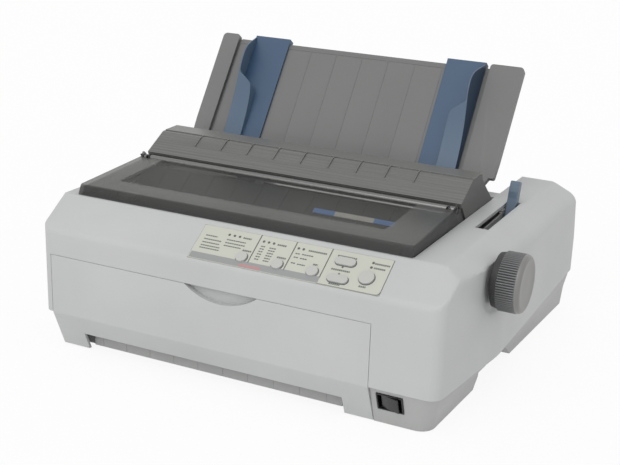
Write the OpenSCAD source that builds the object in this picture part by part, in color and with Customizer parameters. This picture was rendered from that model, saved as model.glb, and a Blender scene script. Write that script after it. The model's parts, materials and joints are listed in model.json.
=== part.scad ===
// Serial dot matrix printer with a raised sheet guide, as separate pieces in millimetres.
// +X runs to the right of someone facing the front, the front looks along -Y, +Z is up.
// Pieces are drawn in case coordinates: x = 0 in the middle of the case, y = 0 at the front
// face and z = 0 on the desk. in_frame() then centres the whole printer, knob included.

/* [Case] */
// Width of the case, without the knob
body_w = 392; // [384:1:410]
// Depth of the case
body_d = 356; // [346:1:366]
// Thickness of the case walls
wall = 3; // [2.4:0.1:3.4]
// Height of the seam between lower and upper case
split_z = 38; // [36:0.5:40]
// Height at which the slanted front starts
slope_foot_z = 116; // [112:0.5:118]
// Depth of the slanted front, front to back
slope_run = 36; // [33:0.5:38]
// Rise of the slanted front
slope_rise = 23; // [21:0.5:24]
// Fall of the case top from the slanted front to the rear
top_fall = 8; // [6:0.5:9]
// Width of the narrow wall left of the top opening
left_rim_w = 13; // [12:0.5:16]
// Width of the shoulder right of the top opening
shoulder_w = 55; // [53:0.5:60]
// Radius of the upright corner at the front left
left_corner_r = 8; // [4:0.5:9]
// How far the top of the rear wall leans in
rear_lean = 18; // [10:0.5:20]
// Radius of the upright corner at the front right
right_corner_r = 12; // [8:0.5:16]
// How far the right side draws in towards that corner
side_draw_in = 14; // [10:0.5:16]
// Height of the sill of the rear paper entry
rear_sill_z = 96; // [90:1:98]
// Height of the rubber feet below the case floor
foot_h = 0.8; // [0.6:0.1:1.5]

/* [Front cover] */
// Space between the left side of the case and the front cover
door_left_margin = 9.3; // [8:0.1:11]
// Space between the right side of the case and the front cover
door_right_margin = 73; // [66:0.5:80]
// Height of the top edge of the front cover
door_top_z = 92.7; // [90:0.1:96]
// Height of the crease in the front cover
crease_z = 35.4; // [33:0.1:37]
// How far the front face is set back at the desk
foot_setback = 15.9; // [14:0.1:17]
// Thickness of the front cover
door_t = 2.5; // [2:0.1:3]
// Width of the paper slot under the front cover
slot_w = 256; // [240:1:262]
// Height of the paper slot above the desk
slot_h = 19; // [17:0.5:22]
// Width of the crescent finger scoop
scoop_w = 70; // [50:1:80]
// Height of the crescent finger scoop
scoop_h = 12.3; // [9:0.1:14]

/* [Printer cover and bar] */
// Height of the front lip of the printer cover
lip_h = 8.6; // [7:0.1:9.5]
// Thickness of the printer cover
cover_t = 2.2; // [1.8:0.1:2.6]
// Radius of the bar that the printer cover turns on
bar_r = 3.2; // [2.8:0.1:3.4]
// Distance of the bar from the front face
bar_y = 142; // [141:0.5:143]
// Height of the bar above the desk
bar_z = 149.5; // [149:0.1:150]

/* [Tension cover] */
// Height of the top of the ribbed tension cover
hood_top_z = 167.5; // [166:0.1:169]
// Distance of the front edge of the tension cover from the front face
hood_front_y = 150.5; // [150:0.1:152]
// Depth of the tension cover at the case top
hood_d = 95; // [93:0.5:96]
// Number of ribs on the tension cover
hood_ribs = 9; // [5:1:11]
// Distance between the ribs of the tension cover
hood_rib_pitch = 28.4; // [24:0.1:30]
// Thickness of the tension cover
hood_t = 2.4; // [2:0.1:3]

/* [Sheet guide] */
// Lean of the raised sheet guide from upright, in degrees
guide_lean = 36; // [33:0.5:39]
// Length of the sheet guide above its reference line
guide_len = 112; // [100:1:116]
// Width of the sheet guide's left side strip
left_strip_w = 21.7; // [16:0.1:24]
// Width of the sheet guide's right side strip
right_strip_w = 33.6; // [28:0.1:35]
// How far the sheet guide stands out past each side of the top opening
guide_overhang = 2; // [1:0.1:4]
// Thickness of the sheet guide's panel
guide_t = 3; // [2.4:0.1:3.2]
// Width of an edge guide
edge_w = 40; // [34:0.5:44]
// Width of paper between the edge guides
paper_w = 211; // [180:1:222]

/* [Control panel] */
// Width of the control panel plate
panel_w = 174; // [170:0.5:176]
// Height of the control panel plate along the slant
panel_h = 36.2; // [34:0.1:37]
// Thickness of the control panel plate
panel_t = 1.2; // [1:0.1:1.4]
// Radius of the three round keys
key_r = 5; // [4:0.1:5.4]
// Radius of the large round key
pause_r = 6.5; // [5.5:0.1:7]
// Width of an oblong key
oblong_w = 18; // [14:0.5:19]
// Height of an oblong key
oblong_h = 7.6; // [6:0.1:8]
// How far a key goes down
key_travel = 1.2; // [0.8:0.1:1.4]

/* [Platen and paper feed] */
// Distance of the platen's axis from the front face
platen_y = 94; // [93.5:0.1:95]
// Height of the platen's axis above the desk
platen_z = 113; // [112:0.1:113.5]
// Radius of the rubber platen roller
platen_r = 15; // [14:0.1:15.2]
// Radius of the platen shaft
shaft_r = 4; // [3.5:0.1:4.2]
// Radius of the platen knob
knob_r = 25.2; // [22:0.1:26]
// How far the knob stands out from the side of the case
knob_out = 24; // [18:0.5:26]
// Number of flutes on the knob
knob_flutes = 40; // [24:1:44]
// Module of the paper feed gears
gear_module = 1; // [1:0.1:1]
// Teeth of the platen gear
platen_teeth = 36; // [36:1:36]
// Teeth of the idler gear
idler_teeth = 40; // [40:1:40]
// Teeth of the feed pinion
pinion_teeth = 12; // [12:1:12]
// Radius of the feed motor
feed_motor_r = 21; // [18:0.5:21]

/* [Print unit] */
// Radius of the carriage guide rod
rod_r = 5; // [4.5:0.1:5.2]
// Place of the carriage along the guide rod at rest
carriage_x = -52; // [-70:1:-40]
// Width of the carriage
carriage_w = 48; // [44:0.5:50]
// Radius of the belt pulleys
pulley_r = 7.7; // [7:0.1:8]
// Height of the ribbon cartridge
cartridge_h = 15; // [13:0.5:16]

/* [Levers] */
// Width of the release lever
lever_w = 9; // [8:0.1:10]
// Width of the lever slot in the shoulder
lever_slot_w = 12.4; // [12:0.2:14]
// Length of the lever slot in the shoulder
lever_slot_len = 97; // [96:1:99]
// Lean of the release lever from upright at rest, in degrees
lever_lean = 22; // [20:0.5:22.5]

/* [Push tractor] */
// Distance between the two rows of paper pins
pin_span = 228.6; // [220:0.2:230]
// Radius of the sprocket drums, for pins half an inch apart
drum_r = 12.1; // [12.1:0.1:12.1]
// Side of the square drive shaft
square_side = 6; // [5:0.1:6.2]

/* [Fits] */
// Radial running clearance of a shaft in a bore
run_gap = 0.06; // [0.04:0.01:0.09]
// Clearance between pieces that slide or swing past each other
slide_gap = 0.4; // [0.3:0.05:0.5]
// Gap at which a piece is seated against what carries it
seat_gap = 0.2; // [0.1:0.05:0.25]

/* [Hidden] */
$fn = 48;

// Case outline
left_x = -body_w/2;
right_x = body_w/2;
open_x0 = left_x + left_rim_w;
open_x1 = right_x - shoulder_w;
open_mid = (open_x0 + open_x1)/2;
slope_top_z = slope_foot_z + slope_rise;
slope_angle = atan2(slope_rise, slope_run);
slope_len = norm([slope_run, slope_rise]);
fall_angle = atan2(top_fall, body_d - slope_run);
bevel_x = right_x - 25;
bevel_angle = 27;
bevel_w = 25.3;
floor_z = foot_h;
lid_front_y = slope_run + 5;
deck_y0 = hood_front_y + hood_d + 0.5;
deck_d = 16;
deck_y1 = deck_y0 + deck_d;
skirt_h = 17;
frame_t = 1.5;
frame_xl = open_x0 + 6.5;
frame_xr = open_x1 - 7.5;
// Colours
light_grey = [0.74, 0.75, 0.75];
mid_grey = [0.66, 0.67, 0.67];
dark_grey = [0.46, 0.46, 0.45];
steel = [0.70, 0.71, 0.73];
black = [0.12, 0.12, 0.13];
guide_blue = [0.35, 0.42, 0.53];
cream = [0.80, 0.80, 0.75];

// Height of the case top at a distance y from the front face
function top_z(y) = slope_top_z - (y - slope_run)*top_fall/(body_d - slope_run);

// Points of a polygon whose corners [x, y, r] are rounded by their own radius
function unit(v) = v/norm(v);
function flat_xy(p) = [p[0], p[1]];
function fillet(a, b, c, r, n) = r <= 0 ? [b] :
  let(u = unit(a - b), v = unit(c - b), half = acos(u*v)/2,
      centre = b + unit(u + v)*r/sin(half),
      s = b + u*r/tan(half) - centre, e = b + v*r/tan(half) - centre,
      a0 = atan2(s[1], s[0]), turn = (atan2(e[1], e[0]) - a0 + 540)%360 - 180)
  [for (i = [0:n]) centre + r*[cos(a0 + turn*i/n), sin(a0 + turn*i/n)]];
module outline(pts, n = 5) {
  last = len(pts) - 1;
  polygon([for (i = [0:last]) each fillet(flat_xy(pts[i == 0 ? last : i - 1]), flat_xy(pts[i]),
    flat_xy(pts[i == last ? 0 : i + 1]), pts[i][2], n)]);
}

// Case coordinates to the printer's own frame
module in_frame() translate([-knob_out/2, -body_d/2, 0]) children();
// A (y, z) outline drawn out along X
module along_x(x0, x1) translate([x0, 0, 0]) rotate([90, 0, 90]) linear_extrude(x1 - x0) children();
// An (x, z) outline drawn out along Y
module along_y(y0, y1) translate([0, y1, 0]) rotate([90, 0, 0]) linear_extrude(y1 - y0) children();
// An (x, y) outline drawn out along Z
module along_z(z0, z1) translate([0, 0, z0]) linear_extrude(z1 - z0) children();
// A rod along X at (y, z)
module rod_x(x0, x1, y, z, r) translate([x0, y, z]) rotate([0, 90, 0]) cylinder(h = x1 - x0, r = r);
// A box given by its two corners
module block(a, b) translate(a) cube(b - a);
// The slanted front's own frame: X across, Y up the slant, Z out of it
module on_slope() translate([0, 0, slope_foot_z]) rotate([slope_angle, 0, 0]) children();
// The set-back lower front's own frame: X across, Y up the face, Z out of it
setback_angle = atan2(foot_setback - 2.3, crease_z);
module on_setback() translate([0, foot_setback, 0]) rotate([90 + setback_angle, 0, 0]) children();
// The sheet guide's own frame: X across, Y along its length, Z out of its front
guide_y = 240;
guide_z = 155;
module on_guide() translate([0, guide_y, guide_z]) rotate([90 - guide_lean, 0, 0]) children();

// ---- Upper case ------------------------------------------------------------------------
side_draw_y = 110;
module case_plan(inset) {
  x0 = left_x + inset;
  x1 = right_x - inset;
  y0 = inset;
  y1 = body_d - inset;
  rl = left_corner_r - inset;
  outline([[x0, y0, rl], [x1 - side_draw_in, y0, right_corner_r - inset], [x1, side_draw_y, 150],
      [x1, y1, rl],
    [x0, y1, rl]], 8);
}
module side_profile(inset, z0) {
  foot = slope_foot_z + inset*tan(slope_angle) - inset/cos(slope_angle);
  top_y = slope_run + inset*tan(slope_angle/2);
  outline([[inset, z0, 0], [inset, foot, 8], [top_y, top_z(top_y) - inset, 3],
    [body_d - rear_lean - inset, top_z(body_d - rear_lean) - inset, 4], [body_d - inset, split_z, 0],
    [body_d - inset, z0, 0]]);
}
module case_solid(inset, z0) difference() {
  intersection() {
    along_z(z0, slope_top_z + 1) case_plan(inset);
    along_x(left_x, right_x) side_profile(inset, z0);
  }
  // Slanted outer edge of the shoulder, softly rounded into the top and the side
  translate([bevel_x, slope_run, slope_top_z - inset]) rotate([-fall_angle, 0, 0])
    along_y(-2*slope_run, body_d) outline([[-40, 0, 0], [0, 0, 10], [bevel_w, -bevel_w*tan(bevel_angle), 14],
      [bevel_w, -60, 0], [bevel_w + 40, -60, 0], [bevel_w + 40, 40, 0], [-40, 40, 0]], 6);
}
module well_walls() {
  for (x = [open_x0 - wall, open_x1])
    block([x, lid_front_y, slope_top_z - skirt_h - wall], [x + wall, body_d, slope_top_z + 1]);
  block([open_x0 - wall, lid_front_y - wall, slope_top_z - skirt_h],
    [open_x1 + wall, lid_front_y, slope_top_z + 1]);
}
lever_x = open_x1 + 21;
lever_slot_y = 144.5;
knob_dish_r = knob_r + 8;
knob_dish_d = 5.5;
hood_pivot_y = hood_front_y + hood_d - 8;
hood_pivot_z = 128.5;
hood_pin_r = 2.5;
module upper_case() color(light_grey) in_frame() difference() {
  union() {
    difference() {
      case_solid(0, split_z);
      difference() {
        case_solid(wall, split_z - 1);
        well_walls();
        // Stiffening flange under the rear deck
        block([open_x0, deck_y0, top_z(deck_y0) - 12], [open_x1, deck_y0 + wall, slope_top_z]);
        // Thick pad behind the dish that the knob sits in
        rod_x(right_x - wall - knob_dish_d, right_x, platen_y, platen_z, knob_dish_r + 2);
      }
    }
    // Pillars down to the lower case for the screws
    for (i = [0:3]) let (p = case_screw_places()[i], w = web_ends()[i]) {
      translate([p[0], p[1], split_z + seat_gap]) cylinder(h = pillar_h, r = pillar_r);
      block([min(p[0], w[0]) - web_t/2, min(p[1], w[1]) - web_t/2, split_z + seat_gap],
        [max(p[0], w[0]) + web_t/2, max(p[1], w[1]) + web_t/2, split_z + pillar_h]);
    }
  }
  // Top opening in front of the deck, and the rear paper entry behind it
  block([open_x0, lid_front_y, slope_top_z - skirt_h - 1], [open_x1, deck_y0, 200]);
  block([open_x0, deck_y1, rear_sill_z], [open_x1, body_d + 1, 200]);
  // Opening for the front cover
  block([door_x0 - slide_gap, -1, split_z - 1], [door_x1 + slide_gap, wall + 1, door_top_z + slide_gap]);
  // Recess for the control panel plate, with holes for the keys
  on_slope() {
    translate([panel_x0 - seat_gap, panel_y0 - seat_gap, -panel_t])
      cube([panel_w + 2*seat_gap, panel_h + 2*seat_gap, 5]);
    key_holes(-wall - 1, 1);
  }
  // Dish round the knob and the hole for the platen shaft
  translate([right_x - knob_dish_d, platen_y, platen_z]) rotate([0, 90, 0])
    cylinder(h = knob_dish_d + 0.1, r1 = knob_r + 1.5, r2 = knob_dish_r);
  rod_x(right_x - wall - knob_dish_d - 1, right_x + 1, platen_y, platen_z, shaft_r + 1.5);
  // Lever slot in the shoulder
  translate([lever_x - lever_slot_w/2, lever_slot_y, slope_top_z - 30])
    cube([lever_slot_w, lever_slot_len, 50]);
  // Bores for the pegs of the tension cover
  rod_x(open_x0 - wall - 1, open_x1 + wall + 1, hood_pivot_y, hood_pivot_z, hood_pin_r + run_gap);
  // Bores for the case screws
  for (p = case_screw_places()) translate([p[0], p[1], split_z - 1]) cylinder(h = 12, r = screw_r);
  // Cooling slots in the rear wall
  for (i = [0:vent_count - 1]) block([vent_x0 + i*vent_pitch, body_d - wall - 12, 52],
    [vent_x0 + i*vent_pitch + 3, body_d + 1, 84]);
  // Cooling slots in the left side
  for (i = [0:vent_count - 1]) block([left_x - 1, 210 + i*vent_pitch, 56],
    [left_x + wall + 1, 213 + i*vent_pitch, 92]);
}
pillar_r = 5;
pillar_h = 14;
web_t = 2;
vent_count = 12;
vent_pitch = 7;
vent_x0 = 20;

// ---- Lower case ------------------------------------------------------------------------
screw_r = 1.6;
function case_screw_places() = [[left_x + 10, 60], [left_x + 10, body_d - 22], [right_x - 36, 44],
  [right_x - 14, body_d - 20]];
// Places where webs tie the screw pillars of the upper case to its walls
function web_ends() = [[left_x + 1, 60], [left_x + 1, body_d - 22], [right_x - 36, 1],
    [right_x - 1, body_d - 20]];
// Corner discs of the tapered tray at height z: how far each side is drawn in from the case's outline
module tray_ring(inset, z, side_in, nose_in, belly_in, right_in, rear_in) {
  rl = left_corner_r + 2 - inset;
  rn = right_corner_r + 1 - inset;
  rb = 40 - inset;
  front_in = 2.6 + (foot_setback - 2)*(split_z - z)/split_z;
  for (c = [[left_x + side_in + inset + rl, front_in + inset + rl, rl],
            [right_x - nose_in - inset - rn, front_in + inset + rn, rn],
            [right_x - belly_in - inset - rb, side_draw_y + 10, rb],
            [right_x - right_in - inset - rl, body_d - rear_in - inset - rl, rl],
            [left_x + side_in + inset + rl, body_d - rear_in - inset - rl, rl]])
    translate([c[0], c[1], z]) cylinder(h = 0.1, r = c[2], $fn = 32);
}
tray_waist_z = 20;
module tray_foot(inset, z) tray_ring(inset, z, 2.7, side_draw_in + 10, 19.5, 6.8, 1.5);
module tray_waist(inset) tray_ring(inset, tray_waist_z, 1.8, side_draw_in + 5.5, 17.5, 5, 1.2);
module tray_seam(inset, z) tray_ring(inset, z, 1, side_draw_in + 1, 1, 1, 1);
module tray_solid(inset, z0, z1) {
  hull() {
    tray_foot(inset, z0);
    tray_waist(inset);
  }
  hull() {
    tray_waist(inset);
    tray_seam(inset, z1 - 0.1);
  }
}
hinge_y = 20;
hinge_z = 8.6;
door_foot_z = 1.6;
door_pin_r = 2;
door_block_w = 3.4;
frame_post_h = 18;
board_z = 8;
tray_floor = floor_z + wall;
inlet_x = right_x - 40;
module lower_case() color(mid_grey) in_frame() difference() {
  union() {
    difference() {
      tray_solid(0, floor_z, split_z);
      tray_solid(wall, tray_floor, split_z + 1);
      // Clear way for the front cover
      block([door_x0 - slide_gap, -1, -1], [door_x1 + slide_gap, front_floor_y, split_z + 1]);
    }
    // Cheeks that carry the front cover's hinge pins
    intersection() {
      tray_solid(0, floor_z, split_z);
      union() {
        block([door_x0 - slide_gap - door_block_w, 0, 0], [door_x0 - slide_gap, 60, split_z]);
        block([door_x1 + slide_gap, 0, 0], [door_x1 + slide_gap + door_block_w, 60, split_z]);
        block([door_x0, front_floor_y, 0], [door_x1, front_floor_y + wall, sill_z]);
      }
    }
    // Posts for the steel base frame and for the main board
    for (p = frame_posts()) translate([p[0], p[1], tray_floor - 0.5])
      cylinder(h = base_frame_z - frame_t - seat_gap - tray_floor + 0.5, r = 5);
    for (p = board_feet()) translate([p[0], p[1], tray_floor - 0.5])
      cylinder(h = board_z - seat_gap - tray_floor + 0.5, r = 3);
    // Pillars for the case screws
    for (p = case_screw_places()) intersection() {
      tray_solid(0, floor_z, split_z);
      translate([p[0], p[1], 0]) cylinder(h = split_z, r = pillar_r);
    }
    // Walls round the finger recess
    intersection() {
      tray_solid(0, floor_z, split_z);
      along_x(grip_x - wall, right_x) grip_outline(wall, 0);
    }
    // Rails that carry the power supply
    for (y = [supply_y0 + 8, supply_y1 - 14]) block([supply_x0 + 2, y, tray_floor - 0.5],
      [supply_x1 - 14, y + 6, supply_z0 - seat_gap]);
  }
  // Bores for the hinge pins
  rod_x(door_x0 - slide_gap - door_block_w - 1, door_x0, hinge_y, hinge_z, door_pin_r + run_gap);
  rod_x(door_x1, door_x1 + slide_gap + door_block_w + 1, hinge_y, hinge_z, door_pin_r + run_gap);
  // Finger recess under the right side, and the recess of the power switch
  along_x(grip_x, right_x + 1) grip_outline(0, -1);
  on_setback() translate([switch_x - switch_w/2 - seat_gap, switch_y0 - seat_gap, -20])
    cube([switch_w + 2*seat_gap, switch_h + 2*seat_gap, 30]);
  // Windows for the rear sockets
  for (s = socket_list()) block([s[0] - s[1]/2 - seat_gap, body_d - 12, s[2] - s[3]/2 - seat_gap],
    [s[0] + s[1]/2 + seat_gap, body_d + 1, s[2] + s[3]/2 + seat_gap]);
  // Screw ways and foot sockets
  for (p = case_screw_places()) {
    translate([p[0], p[1], -1]) cylinder(h = split_z + 2, r = screw_r + 0.3);
    translate([p[0], p[1], -1]) cylinder(h = screw_head_z + 1, r = 4);
  }
  for (p = foot_places()) translate([p[0], p[1], -1]) cylinder(h = floor_z + 2, r = foot_r + seat_gap);
}
screw_head_z = 14;
grip_x = right_x - 46;
grip_y0 = 110;
grip_y1 = 172;
grip_h = 19.5;
grip_ramp = 30;
module grip_outline(grow, z0) outline([[grip_y0 - grow, z0, 0], [grip_y0 - grow, grip_h + grow, 0],
  [grip_y1 + grow, grip_h + grow, 3], [grip_y1 + grip_ramp + grow, z0, 0]]);
foot_r = 7;
front_floor_y = 28;
sill_z = 9.3;
function foot_places() = [[left_x + 22, 40], [left_x + 22, body_d - 40], [right_x - 50, 60],
  [right_x - 34, body_d - 30]];
function frame_posts() = [[open_x0 + 20, 110], [open_x1 - 20, 110], [open_x0 + 20, 232], [open_x1 - 20, 232]];
function board_feet() = [for (x = [board_x0 + 6, board_x1 - 6], y = [board_y0 + 6, board_y1 - 6]) [x, y]];

// ---- Front cover and front paper guide ---------------------------------------------------
door_x0 = left_x + door_left_margin;
door_x1 = right_x - door_right_margin;
slot_x0 = door_x0 + 0.52*(door_x1 - door_x0 - slot_w);
scoop_x = door_x0 + 173;
scoop_r = (pow(scoop_w/2, 2) + pow(scoop_h, 2))/(2*scoop_h);
module front_cover() color(light_grey) in_frame() difference() {
  union() {
    along_x(door_x0, door_x1) outline([[0, door_top_z, 1], [0, crease_z + 2, 6],
      [foot_setback - 0.6, door_foot_z, 0], [foot_setback + door_t - 0.2, door_foot_z, 0],
      [door_t, crease_z + 3, 4], [door_t, door_top_z, 0]]);
    // Pocket behind the finger scoop
    block([scoop_x - scoop_w/2 - 4, 0.5, door_top_z - scoop_h - 4], [scoop_x + scoop_w/2 + 4, 8, door_top_z]);
    // Ears and pins of the hinge
    for (x = [door_x0, door_x1 - 6]) difference() {
      union() {
        rod_x(x, x + 6, hinge_y, hinge_z, 4.2);
        block([x, hinge_y - 6.5, hinge_z - 4], [x + 6, hinge_y, hinge_z + 4]);
      }
      on_setback() translate([x - 1, -10, 0]) cube([8, 60, 20]);
    }
    rod_x(door_x0 - slide_gap - door_block_w + 0.6, door_x0 + 2, hinge_y, hinge_z, door_pin_r);
    rod_x(door_x1 - 2, door_x1 + slide_gap + door_block_w - 0.6, hinge_y, hinge_z, door_pin_r);
    // Stiffening ribs on the inner face
    for (x = [door_x0 + 40:50:door_x1 - 30]) if (abs(x - scoop_x) > scoop_w/2 + 8)
      block([x, door_t - 0.5, crease_z + 6], [x + 2, door_t + 2.5, door_top_z - 5]);
  }
  // Crescent scoop under the top edge
  translate([scoop_x, -1, door_top_z - scoop_h + scoop_r]) rotate([-90, 0, 0])
    cylinder(h = 6.5, r = scoop_r, $fn = 96);
  // Paper slot
  block([slot_x0, -1, -1], [slot_x0 + slot_w, hinge_y, slot_h]);
}
guide_rib_pitch = 25;
paper_rise_y = 80;
module front_paper_guide() color(mid_grey) in_frame() {
  x0 = slot_x0 + 1.5;
  x1 = slot_x0 + slot_w - 5;
  along_x(x0, x1) outline([[21.5, 3.2, 0], [27.4, 3.2, 0], [27.4, 9.5, 1], [66, 12.5, 14],
    [paper_rise_y + 2.5, 34, 6], [paper_rise_y + 4.5, 97, 0], [paper_rise_y + 2, 97, 0],
    [paper_rise_y, 34, 6], [66, 15, 14], [21.5, 12.3, 1.5]]);
  // Ribs that the paper runs on
  for (x = [x0 + 8:guide_rib_pitch:x1 - 4]) along_x(x, x + 1.6) outline([[20.9, 4, 0], [22, 4, 0],
    [22, 11, 1], [66, 14, 14], [paper_rise_y + 1, 35, 6], [paper_rise_y + 2.2, 96, 0],
    [paper_rise_y + 1.2, 96, 0],
    [paper_rise_y - 0.8, 35, 6], [66, 15.8, 14], [20.9, 13, 1.5]]);
}

// ---- Printer cover, bar and clips --------------------------------------------------------
cover_x0 = open_x0 + 0.5;
cover_x1 = open_x1 - 0.5;
cover_top_z = slope_top_z + lip_h + 0.4;
cover_rear_z = bar_z + 1.4;
cover_rear_y = bar_y - bar_r - 1.2;
hook_w = 5;
module cover_side(x0, x1) along_x(x0, x1) difference() {
  outline([[slope_run + 2.4, slope_top_z + 0.5, 0], [slope_run + 6, cover_top_z, 3],
      [cover_rear_y, cover_rear_z, 0],
    [bar_y, bar_z + bar_r + 2.4, 0], [bar_y + bar_r + 2.6, bar_z, 3], [hood_front_y + 9.5, top_z(160) - 1, 0],
    [hood_front_y + 8, top_z(160) - 3.5, 1], [lid_front_y + 2.4, top_z(lid_front_y) - 3, 0],
    [lid_front_y + 2.4, slope_top_z + 0.5, 0]]);
  translate([bar_y, bar_z]) circle(bar_r + run_gap);
}
module printer_cover() color([0.25, 0.25, 0.25, 0.6]) in_frame() union() {
  // Top plate with its slanted front lip
  along_x(cover_x0, cover_x1) outline([[slope_run + 1.4, slope_top_z + 0.3, 0],
      [slope_run + 5.5, cover_top_z, 3],
    [cover_rear_y, cover_rear_z, 1], [cover_rear_y, cover_rear_z - cover_t, 0],
    [slope_run + 7.4, cover_top_z - cover_t, 2], [slope_run + 4.4, slope_top_z + 0.3, 0]]);
  cover_side(cover_x0, cover_x0 + cover_t);
  cover_side(cover_x1 - cover_t, cover_x1);
}
bar_x0 = cover_x0 + 0.6;
bar_x1 = cover_x1 - 0.6;
module cover_bar() color(steel) in_frame() rod_x(bar_x0, bar_x1, bar_y, bar_z, bar_r);
// Spring clips that hold the bar in the side frames, one at each end
clip_t = 1.2;
module bar_clips() color(black) in_frame() for (x = [frame_xl + frame_t + 0.3, frame_xr - clip_t - 0.3])
  difference() {
    union() {
      rod_x(x, x + clip_t, bar_y, bar_z, bar_r + 0.8);
      block([x, bar_y - 1.6, bar_z - bar_r - 6], [x + clip_t, bar_y + 1.6, bar_z]);
    }
    rod_x(x - 1, x + clip_t + 1, bar_y, bar_z, bar_r + 0.05);
  }

// ---- Tension cover -------------------------------------------------------------------------
hood_x0 = open_x0 + 0.5;
hood_x1 = open_x1 - 0.5;
hood_lip_y = hood_front_y + 53;
module hood_end(x0, x1) along_x(x0, x1) outline([[hood_front_y, 153, 0], [hood_front_y + 27.5, hood_top_z, 6],
  [hood_lip_y, hood_top_z - 0.5, 2], [hood_lip_y + 3, hood_top_z - 7, 0],
  [hood_front_y + hood_d, top_z(246) - 5, 2],
  [hood_front_y + hood_d - 4, hood_pivot_z - 5, 2], [hood_pivot_y - 5, hood_pivot_z - 5, 2],
  [hood_front_y + 16.5, top_z(167) - 3, 1]]);
module tension_cover() color(dark_grey) in_frame() {
  // Ribbed skin, open underneath
  along_x(hood_x0, hood_x1) outline([[hood_front_y, 153, 0], [hood_front_y + 27.5, hood_top_z, 6],
    [hood_lip_y, hood_top_z - 0.5, 2], [hood_lip_y + 3, hood_top_z - 7, 0],
    [hood_lip_y + 0.8, hood_top_z - 7.6, 0],
    [hood_lip_y - 1.2, hood_top_z - 3, 0], [hood_front_y + 28, hood_top_z - hood_t, 5],
    [hood_front_y + 3.4, 152, 0],
    [hood_front_y + 3.4, 149, 0], [hood_front_y + 1.2, 149, 0]]);
  hood_end(hood_x0, hood_x0 + hood_t);
  hood_end(hood_x1 - hood_t, hood_x1);
  for (i = [0:hood_ribs - 1]) along_x(rib_x(i) - 0.7, rib_x(i) + 0.7)
    polygon([[hood_front_y + 14.5, hood_top_z - 7.9], [hood_front_y + 14.5, hood_top_z - 6],
      [hood_front_y + 25.5, hood_top_z + 0.2], [hood_front_y + 31, hood_top_z + 0.9],
      [hood_front_y + 31, hood_top_z - 1]]);
  // Pegs that turn in the case
  rod_x(hood_x0 - wall - 0.2, hood_x0 + 1, hood_pivot_y, hood_pivot_z, hood_pin_r);
  rod_x(hood_x1 - 1, hood_x1 + wall + 0.2, hood_pivot_y, hood_pivot_z, hood_pin_r);
}
function rib_x(i) = open_mid - 3.5 + (i - (hood_ribs - 1)/2)*hood_rib_pitch;

// ---- Sheet guide and edge guides -----------------------------------------------------------
guide_x0 = open_x0 - guide_overhang;
guide_x1 = open_x1 + guide_overhang;
guide_pivot_v = -21;
guide_pin_r = 3;
strip_t = 6;
groove_w = 2.6;
strip_foot_v = -14;
tongue_x0 = frame_xl + frame_t + 1.2;
tongue_x1 = frame_xr - 1.2;
module sheet_guide() color(dark_grey) in_frame() on_guide() {
  // Recessed panel with a rib along its top edge
  translate([guide_x0 + left_strip_w, -10, -guide_t])
    cube([guide_x1 - right_strip_w - guide_x0 - left_strip_w, guide_len - 4 + 10, guide_t]);
  // Tongue that reaches down into the case
  translate([tongue_x0, guide_pivot_v + 1.5, -guide_t]) cube([tongue_x1 - tongue_x0, 16, guide_t]);
  // Side strips, rounded at the top and drawn in at the foot
  for (s = [[guide_x0, guide_x0 + left_strip_w - groove_w, 1], [guide_x1, guide_x1 - right_strip_w, -1]])
    difference() {
      translate([0, 0, -guide_t]) linear_extrude(strip_t) outline([[s[0] + s[2]*1.6, -3, 2],
        [s[0] + s[2]*0.8, 14, 30], [s[0], guide_len, 4], [s[1], guide_len, 3], [s[1], strip_foot_v, 0],
        [s[0] + s[2]*12, strip_foot_v, 3], [s[0] + s[2]*6.6, -3, 1]]);
      // Hollow back
      translate([0, 0, -guide_t - 1]) linear_extrude(strip_t - 1.8) outline([[s[0] + s[2]*3.6, -1, 1],
        [s[0] + s[2]*2.4, guide_len - 2, 2], [s[1] - s[2]*2, guide_len - 2, 2], [s[1] - s[2]*2, -1, 0]]);
    }
  // Floor of the groove beside the left strip
  translate([guide_x0 + left_strip_w - groove_w - 0.5, -10, -guide_t])
    cube([groove_w + 1, guide_len - 4 + 10, 1.4]);
  // Pivot barrels and pins
  for (x = [tongue_x0, tongue_x1 - 8]) translate([x, guide_pivot_v, -guide_t/2])
    rotate([0, 90, 0]) cylinder(h = 8, r = 3.8);
  translate([tongue_x0 - 1.2 - frame_t - 0.8, guide_pivot_v, -guide_t/2]) rotate([0, 90, 0])
    cylinder(h = 4 + frame_t, r = guide_pin_r);
  translate([tongue_x1 - 2, guide_pivot_v, -guide_t/2]) rotate([0, 90, 0])
    cylinder(h = 4 + frame_t, r = guide_pin_r);
  // Shallow ribs that keep paper off the panel
  for (i = [1:7]) translate([rib_x(i), -8, -0.5]) cube([0.8, guide_len - 2, 0.8]);
  // Ridge along the top edge
  translate([guide_x0 + left_strip_w, guide_len - 9, -0.5])
    cube([guide_x1 - right_strip_w - guide_x0 - left_strip_w, 2, 0.8]);
}
panel_top_v = guide_len - 4;
edge_left_x = open_mid - paper_w/2;
edge_right_x = open_mid + paper_w/2;
// Part of an edge guide's width that lies outside the paper, from the room left beside the paper
edge_out = 0.82*(guide_x1 - right_strip_w - edge_right_x);
edge_stop_h = 9;
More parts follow.
